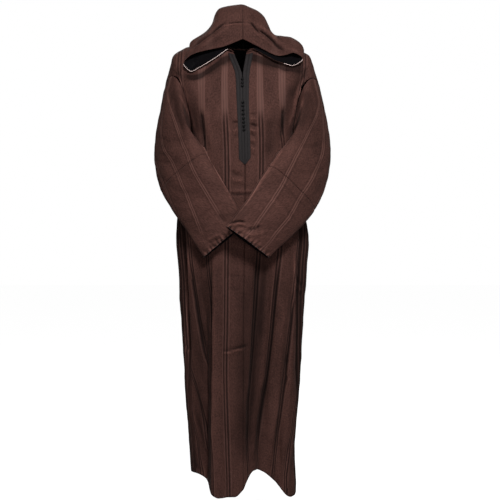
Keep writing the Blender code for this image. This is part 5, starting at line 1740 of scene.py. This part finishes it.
def cloth_look(name, base, bands, pale=CLOTH_PALE, dark=CLOTH_DARK):
    """Dark woollen cloth with narrow satin stripes in groups: a pale core, dark bands and pale borders."""
    look = Shader(name)
    cloth = look.coordinate("cloth")
    # The strength of the stripes' painted sheen
    painted_sheen = look.parts(look.coordinate("stripes"))[1]
    relief, faded, _ = look.parts(look.coordinate("relief"))
    kept = look.math("SUBTRACT", 1.0, faded)
    pale_share, dark_share = stripe_shares(look, bands, painted_sheen, kept)

    # Warp threads run down the cloth, so its uneven colour is drawn out that way
    noises = {part: look.noise(cloth, fibre) for part, fibre in CLOTH_FIBRES.items()}
    shade = look.weighted(0.0, *((noises[part], fibre.share) for part, fibre in CLOTH_FIBRES.items()))
    low, high = ((*(part * (1 + change) for part in base), 1) for change in (-CLOTH_MOTTLE, CLOTH_MOTTLE))
    colour = look.mix(look.ramp(shade, *CLOTH_CONTRAST), low, high)
    colour = look.mix(pale_share, colour, (*pale, 1))
    colour = look.mix(dark_share, colour, (*dark, 1))

    # Painted shade in the troughs of the creases and painted highlight on their ridges, with the painted
    # shadows and light of the shading tables
    painted_shade_factor = look.math("MAXIMUM", look.weighted(1.0, (relief, RELIEF_SHADE)), RELIEF_DARKEST)
    stripes = look.math("ADD", pale_share, dark_share)
    return look.finished({
        "Base Color": look.mix(1.0, colour, painted_shade_factor, "MULTIPLY"),
        "Roughness": look.weighted(CLOTH_ROUGH, (pale_share, SATIN_ROUGH), (noises["streak"], STREAK_ROUGH)),
        "Normal": weave_normal(look, cloth, noises["speck"], stripes),
        "Specular IOR Level": CLOTH_SPECULAR,
        "Sheen Weight": SHEEN,
        "Sheen Roughness": SHEEN_ROUGH,
        "Sheen Tint": (*SHEEN_TINT, 1),
    })


def braid_look():
    """Bluish grey plaited braid, with painted shade between its cords."""
    look = Shader("plaited_braid")
    relief = look.parts(look.coordinate("braid"))[1]
    cloth = look.coordinate("cloth")
    fibre, patch = look.noise(cloth, BRAID_FIBRE), look.noise(cloth, BRAID_PATCH)
    shares = (relief, BRAID_PAINTED_SHADE_SHARE), (fibre, BRAID_FIBRE.share), (patch, BRAID_PATCH.share)
    return look.finished({
        "Base Color": look.ramp(look.weighted(0.0, *shares), *BRAID_COLOURS),
        "Roughness": look.weighted(BRAID_ROUGH, (fibre, BRAID_FIBRE_ROUGH)),
        "Normal": look.bump(fibre, *BRAID_BUMP),
        "Specular IOR Level": BRAID_SPECULAR,
    })


def thread_look(name, colour, roughness):
    """Twisted cord or thread, with fine fibres round it."""
    look = Shader(name)
    fibre = look.noise(look.object_place(), THREAD_FIBRE)
    stops = ((place, tuple(part * factor for part in colour)) for place, factor in THREAD_CONTRAST)
    return look.finished({
        "Base Color": look.ramp(fibre, *stops),
        "Roughness": look.weighted(roughness, (fibre, THREAD_FIBRE.share)),
        "Normal": look.bump(fibre, *THREAD_BUMP),
        "Specular IOR Level": THREAD_SPECULAR,
    })


def floor_look():
    """A pale matt floor that glows for the camera alone."""
    look = Shader("pale_floor")
    grain = look.noise(look.object_place(), FLOOR_GRAIN)
    seen = look.node("LightPath").outputs["Is Camera Ray"]
    return look.finished({
        "Base Color": look.ramp(grain, *((place, FLOOR_COLOUR * factor) for place, factor in FLOOR_CONTRAST)),
        "Roughness": FLOOR_ROUGH,
        "Specular IOR Level": 0.0,
        "Emission Color": (1, 1, 1, 1),
        "Emission Strength": look.math("MULTIPLY", seen, FLOOR_GLOW),
    })


def floor():
    """The plain floor under the robe, which is part of the stage."""
    bpy.ops.mesh.primitive_plane_add(size=FLOOR_SIZE, location=(0, 0, FLOOR_Z))
    made = bpy.context.object
    made.name = "floor"
    made.data.materials.append(floor_look())


def sky():
    """A dim sky that is brighter above, and plain white where the camera sees it."""
    world = bpy.data.worlds.new("studio")
    world.use_nodes = True
    nodes, links = world.node_tree.nodes, world.node_tree.links
    background = nodes["Background"]
    kinds = "TexCoord", "SeparateXYZ", "MapRange", "MapRange", "LightPath"
    place, parts, glow, seen, ray = (nodes.new("ShaderNode" + kind) for kind in kinds)
    glow.inputs["From Min"].default_value = SKY_FROM
    glow.inputs["To Min"].default_value = SKY_LOW
    glow.inputs["To Max"].default_value = SKY_HIGH
    seen.inputs["To Max"].default_value = SKY_SEEN
    links.new(place.outputs["Generated"], parts.inputs[0])
    links.new(parts.outputs["Z"], glow.inputs["Value"])
    links.new(ray.outputs["Is Camera Ray"], seen.inputs["Value"])
    links.new(glow.outputs["Result"], seen.inputs["To Min"])
    links.new(seen.outputs["Result"], background.inputs["Strength"])
    background.inputs["Color"].default_value = (1, 1, 1, 1)
    bpy.context.scene.world = world


def lamps():
    """Soft square lamps, each turned to a height on the robe."""
    for light in LIGHTS:
        data = bpy.data.lights.new(light.name, "AREA")
        data.energy, data.size = light.power, light.size
        lamp = placed(light.name, data)
        lamp.location = (light.x, light.y, light.z)
        aim = Vector((0, 0, light.aim_z)) - lamp.location
        lamp.rotation_euler = aim.to_track_quat("-Z", "Y").to_euler()


def camera():
    """The photograph's camera, which looks straight along +Y."""
    data = bpy.data.cameras.new("camera")
    data.sensor_width = SENSOR
    data.lens = PHOTO_FOCAL * SENSOR / PHOTO_WIDTH
    made = placed("camera", data)
    made.location = (CAMERA_X, -CAMERA_DISTANCE, CAMERA_Z)
    made.rotation_euler = (math.pi / 2, 0, 0)
    bpy.context.scene.camera = made


def wool_looks():
    """The looks of each kind of cloth: outside, inside and cut edge."""
    # The inside of the cloth is near black, as painted shade
    inside = cloth_look("wool_inside_painted_shade", INSIDE_PAINTED_SHADE, BODY_BANDS, INSIDE_PAINTED_SHADE, INSIDE_PAINTED_SHADE)
    # The side panels are the same wool, darker as painted shade
    painted_shade_side_base = tuple(part * SIDE_PAINTED_SHADE for part in CLOTH_BASE)
    kinds = {
        "body": ("striped_wool", CLOTH_BASE, BODY_BANDS),
        "side": ("side_wool_painted_shade", painted_shade_side_base, BODY_BANDS),
        "sleeve": ("sleeve_wool", CLOTH_BASE, SLEEVE_BANDS),
        "hood": ("hood_wool", CLOTH_BASE, HOOD_BANDS),
    }
    outsides = {kind: cloth_look(*values) for kind, values in kinds.items()}
    return {kind: [outside, inside, outside] for kind, outside in outsides.items()}


def robe_cloths(grids, normals, surfaces):
    """All the visible cloth, the threads of its seams, the ticks of its cuffs and the lines of its hood."""
    tree = surface_tree(grids, normals)
    wools = wool_looks()
    cloths = body_cloths(surfaces, wools["body"], wools["side"])
    threads, ticks, hood_lines = [], [], {}
    for side in SIDES:
        made, points, ways = sleeve_cloths(grids, normals, tree, side, wools["sleeve"])
        cloths.update(made)
        cuff = points[-1] * (1 - CUFF_TICK_SHARE) + points[-2] * CUFF_TICK_SHARE
        ticks += stitches(cuff, ways[-1], CUFF_TICK)
        threads += stitches(points[CUFF_ROW], ways[CUFF_ROW], HEM_STITCH)
        threads += stitches(points[SLEEVE_JOIN + 1], ways[SLEEVE_JOIN + 1], PIECING_STITCH)
    for side, (grid, normal) in hoods(grids, tree).items():
        cloths["hood_" + side], points, ways = hood_cloth(side, grid, normal, wools["hood"])
        hood_lines[side] = points, ways
        threads += stitches(points[FACING_ROW], ways[FACING_ROW], HEM_STITCH)
        threads += stitches(points[:FACING_ROW, FACING_COLUMN], ways[:FACING_ROW, FACING_COLUMN], HEM_STITCH)
    for name, piece in cloths.items():
        finish_piece(piece, "cloth", name)
    return threads, ticks, hood_lines


def hood_trim(hood_lines):
    """The turned-in cloth behind the hood's seam, and the piping on its edge."""
    piping, allowances = [], []
    for side, (points, ways) in hood_lines.items():
        piping.append(points[0, slice(*PIPING_COLUMNS[side])])
        allowances.append(points[:, 0] - ways[:, 0] * ALLOWANCE_RADIUS)
    turned_in = thread_look("turned_in_cloth", CLOTH_DARK, TURNED_IN_ROUGH)
    finish_piece(tube("hood_seam_allowance", allowances, ALLOWANCE_RADIUS, turned_in), "cloth")
    piping_look = thread_look("piping", PIPING_COLOUR, PIPING_ROUGH)
    finish_piece(tube("hood_piping", piping, PIPING_RADIUS, piping_look), "cloth")


def braids(grids, normals):
    """The braid on each side of the slit."""
    trim = braid_look()
    for side in SIDES:
        piece = braid_piece(side, grids[side, "front"], normals[side, "front"], trim)
        finish_piece(piece, "braid", "braid_" + side)


def knots(grids, normals):
    """The woven knots in front of the braid, with the loops that hold them."""
    cord = thread_look("knot_cord", KNOT_COLOUR, KNOT_ROUGH)
    woven, loop, loops = knot_line(), loop_line(), []
    for number, (centre, way) in enumerate(zip(*knot_centres(grids, normals)), 1):
        piece = tube(f"knot_{number:02d}_woven", [centre + woven], KNOT_CORD, cord, closed=True)
        finish_piece(piece, "knot", f"knot_{number:02d}")
        loops.append(centre - way * LOOP_BEHIND + loop)
    loop_cord = thread_look("loop_cord", LOOP_COLOUR, LOOP_ROUGH)
    finish_piece(tube("knot_loops", loops, LOOP_CORD, loop_cord), "knot")


def sewing(surfaces, threads, ticks):
    """The stitches that show, with those along the hem of the front added to the given threads."""
    for side in SIDES:
        fine, ways, lift, *_ = surfaces[side, "front"]
        lifted = fine + ways * lift[..., None]
        threads += stitches(lifted[HEM_ROW, :FINE_EDGE], ways[HEM_ROW, :FINE_EDGE], FRONT_HEM_STITCH)
    seam_thread = thread_look("seam_thread", THREAD_COLOUR, THREAD_ROUGH)
    cuff_thread = thread_look("cuff_thread", TICK_COLOUR, THREAD_ROUGH)
    finish_piece(tube("seam_stitches", threads, THREAD_RADIUS, seam_thread, sides=4), "cloth")
    finish_piece(tube("cuff_stitches", ticks, TICK_RADIUS, cuff_thread, sides=5), "braid")


def main():
    """Makes the robe from its cloth to its last stitch, and then the studio."""
    grids, normals = body_quarters()
    surfaces = {key: body_surface(grid, normals[key], *key) for key, grid in grids.items()}
    threads, ticks, hood_lines = robe_cloths(grids, normals, surfaces)
    hood_trim(hood_lines)
    braids(grids, normals)
    knots(grids, normals)
    sewing(surfaces, threads, ticks)
    floor()
    sky()
    lamps()
    camera()
    bpy.context.scene.view_settings.view_transform = "Standard"


main()
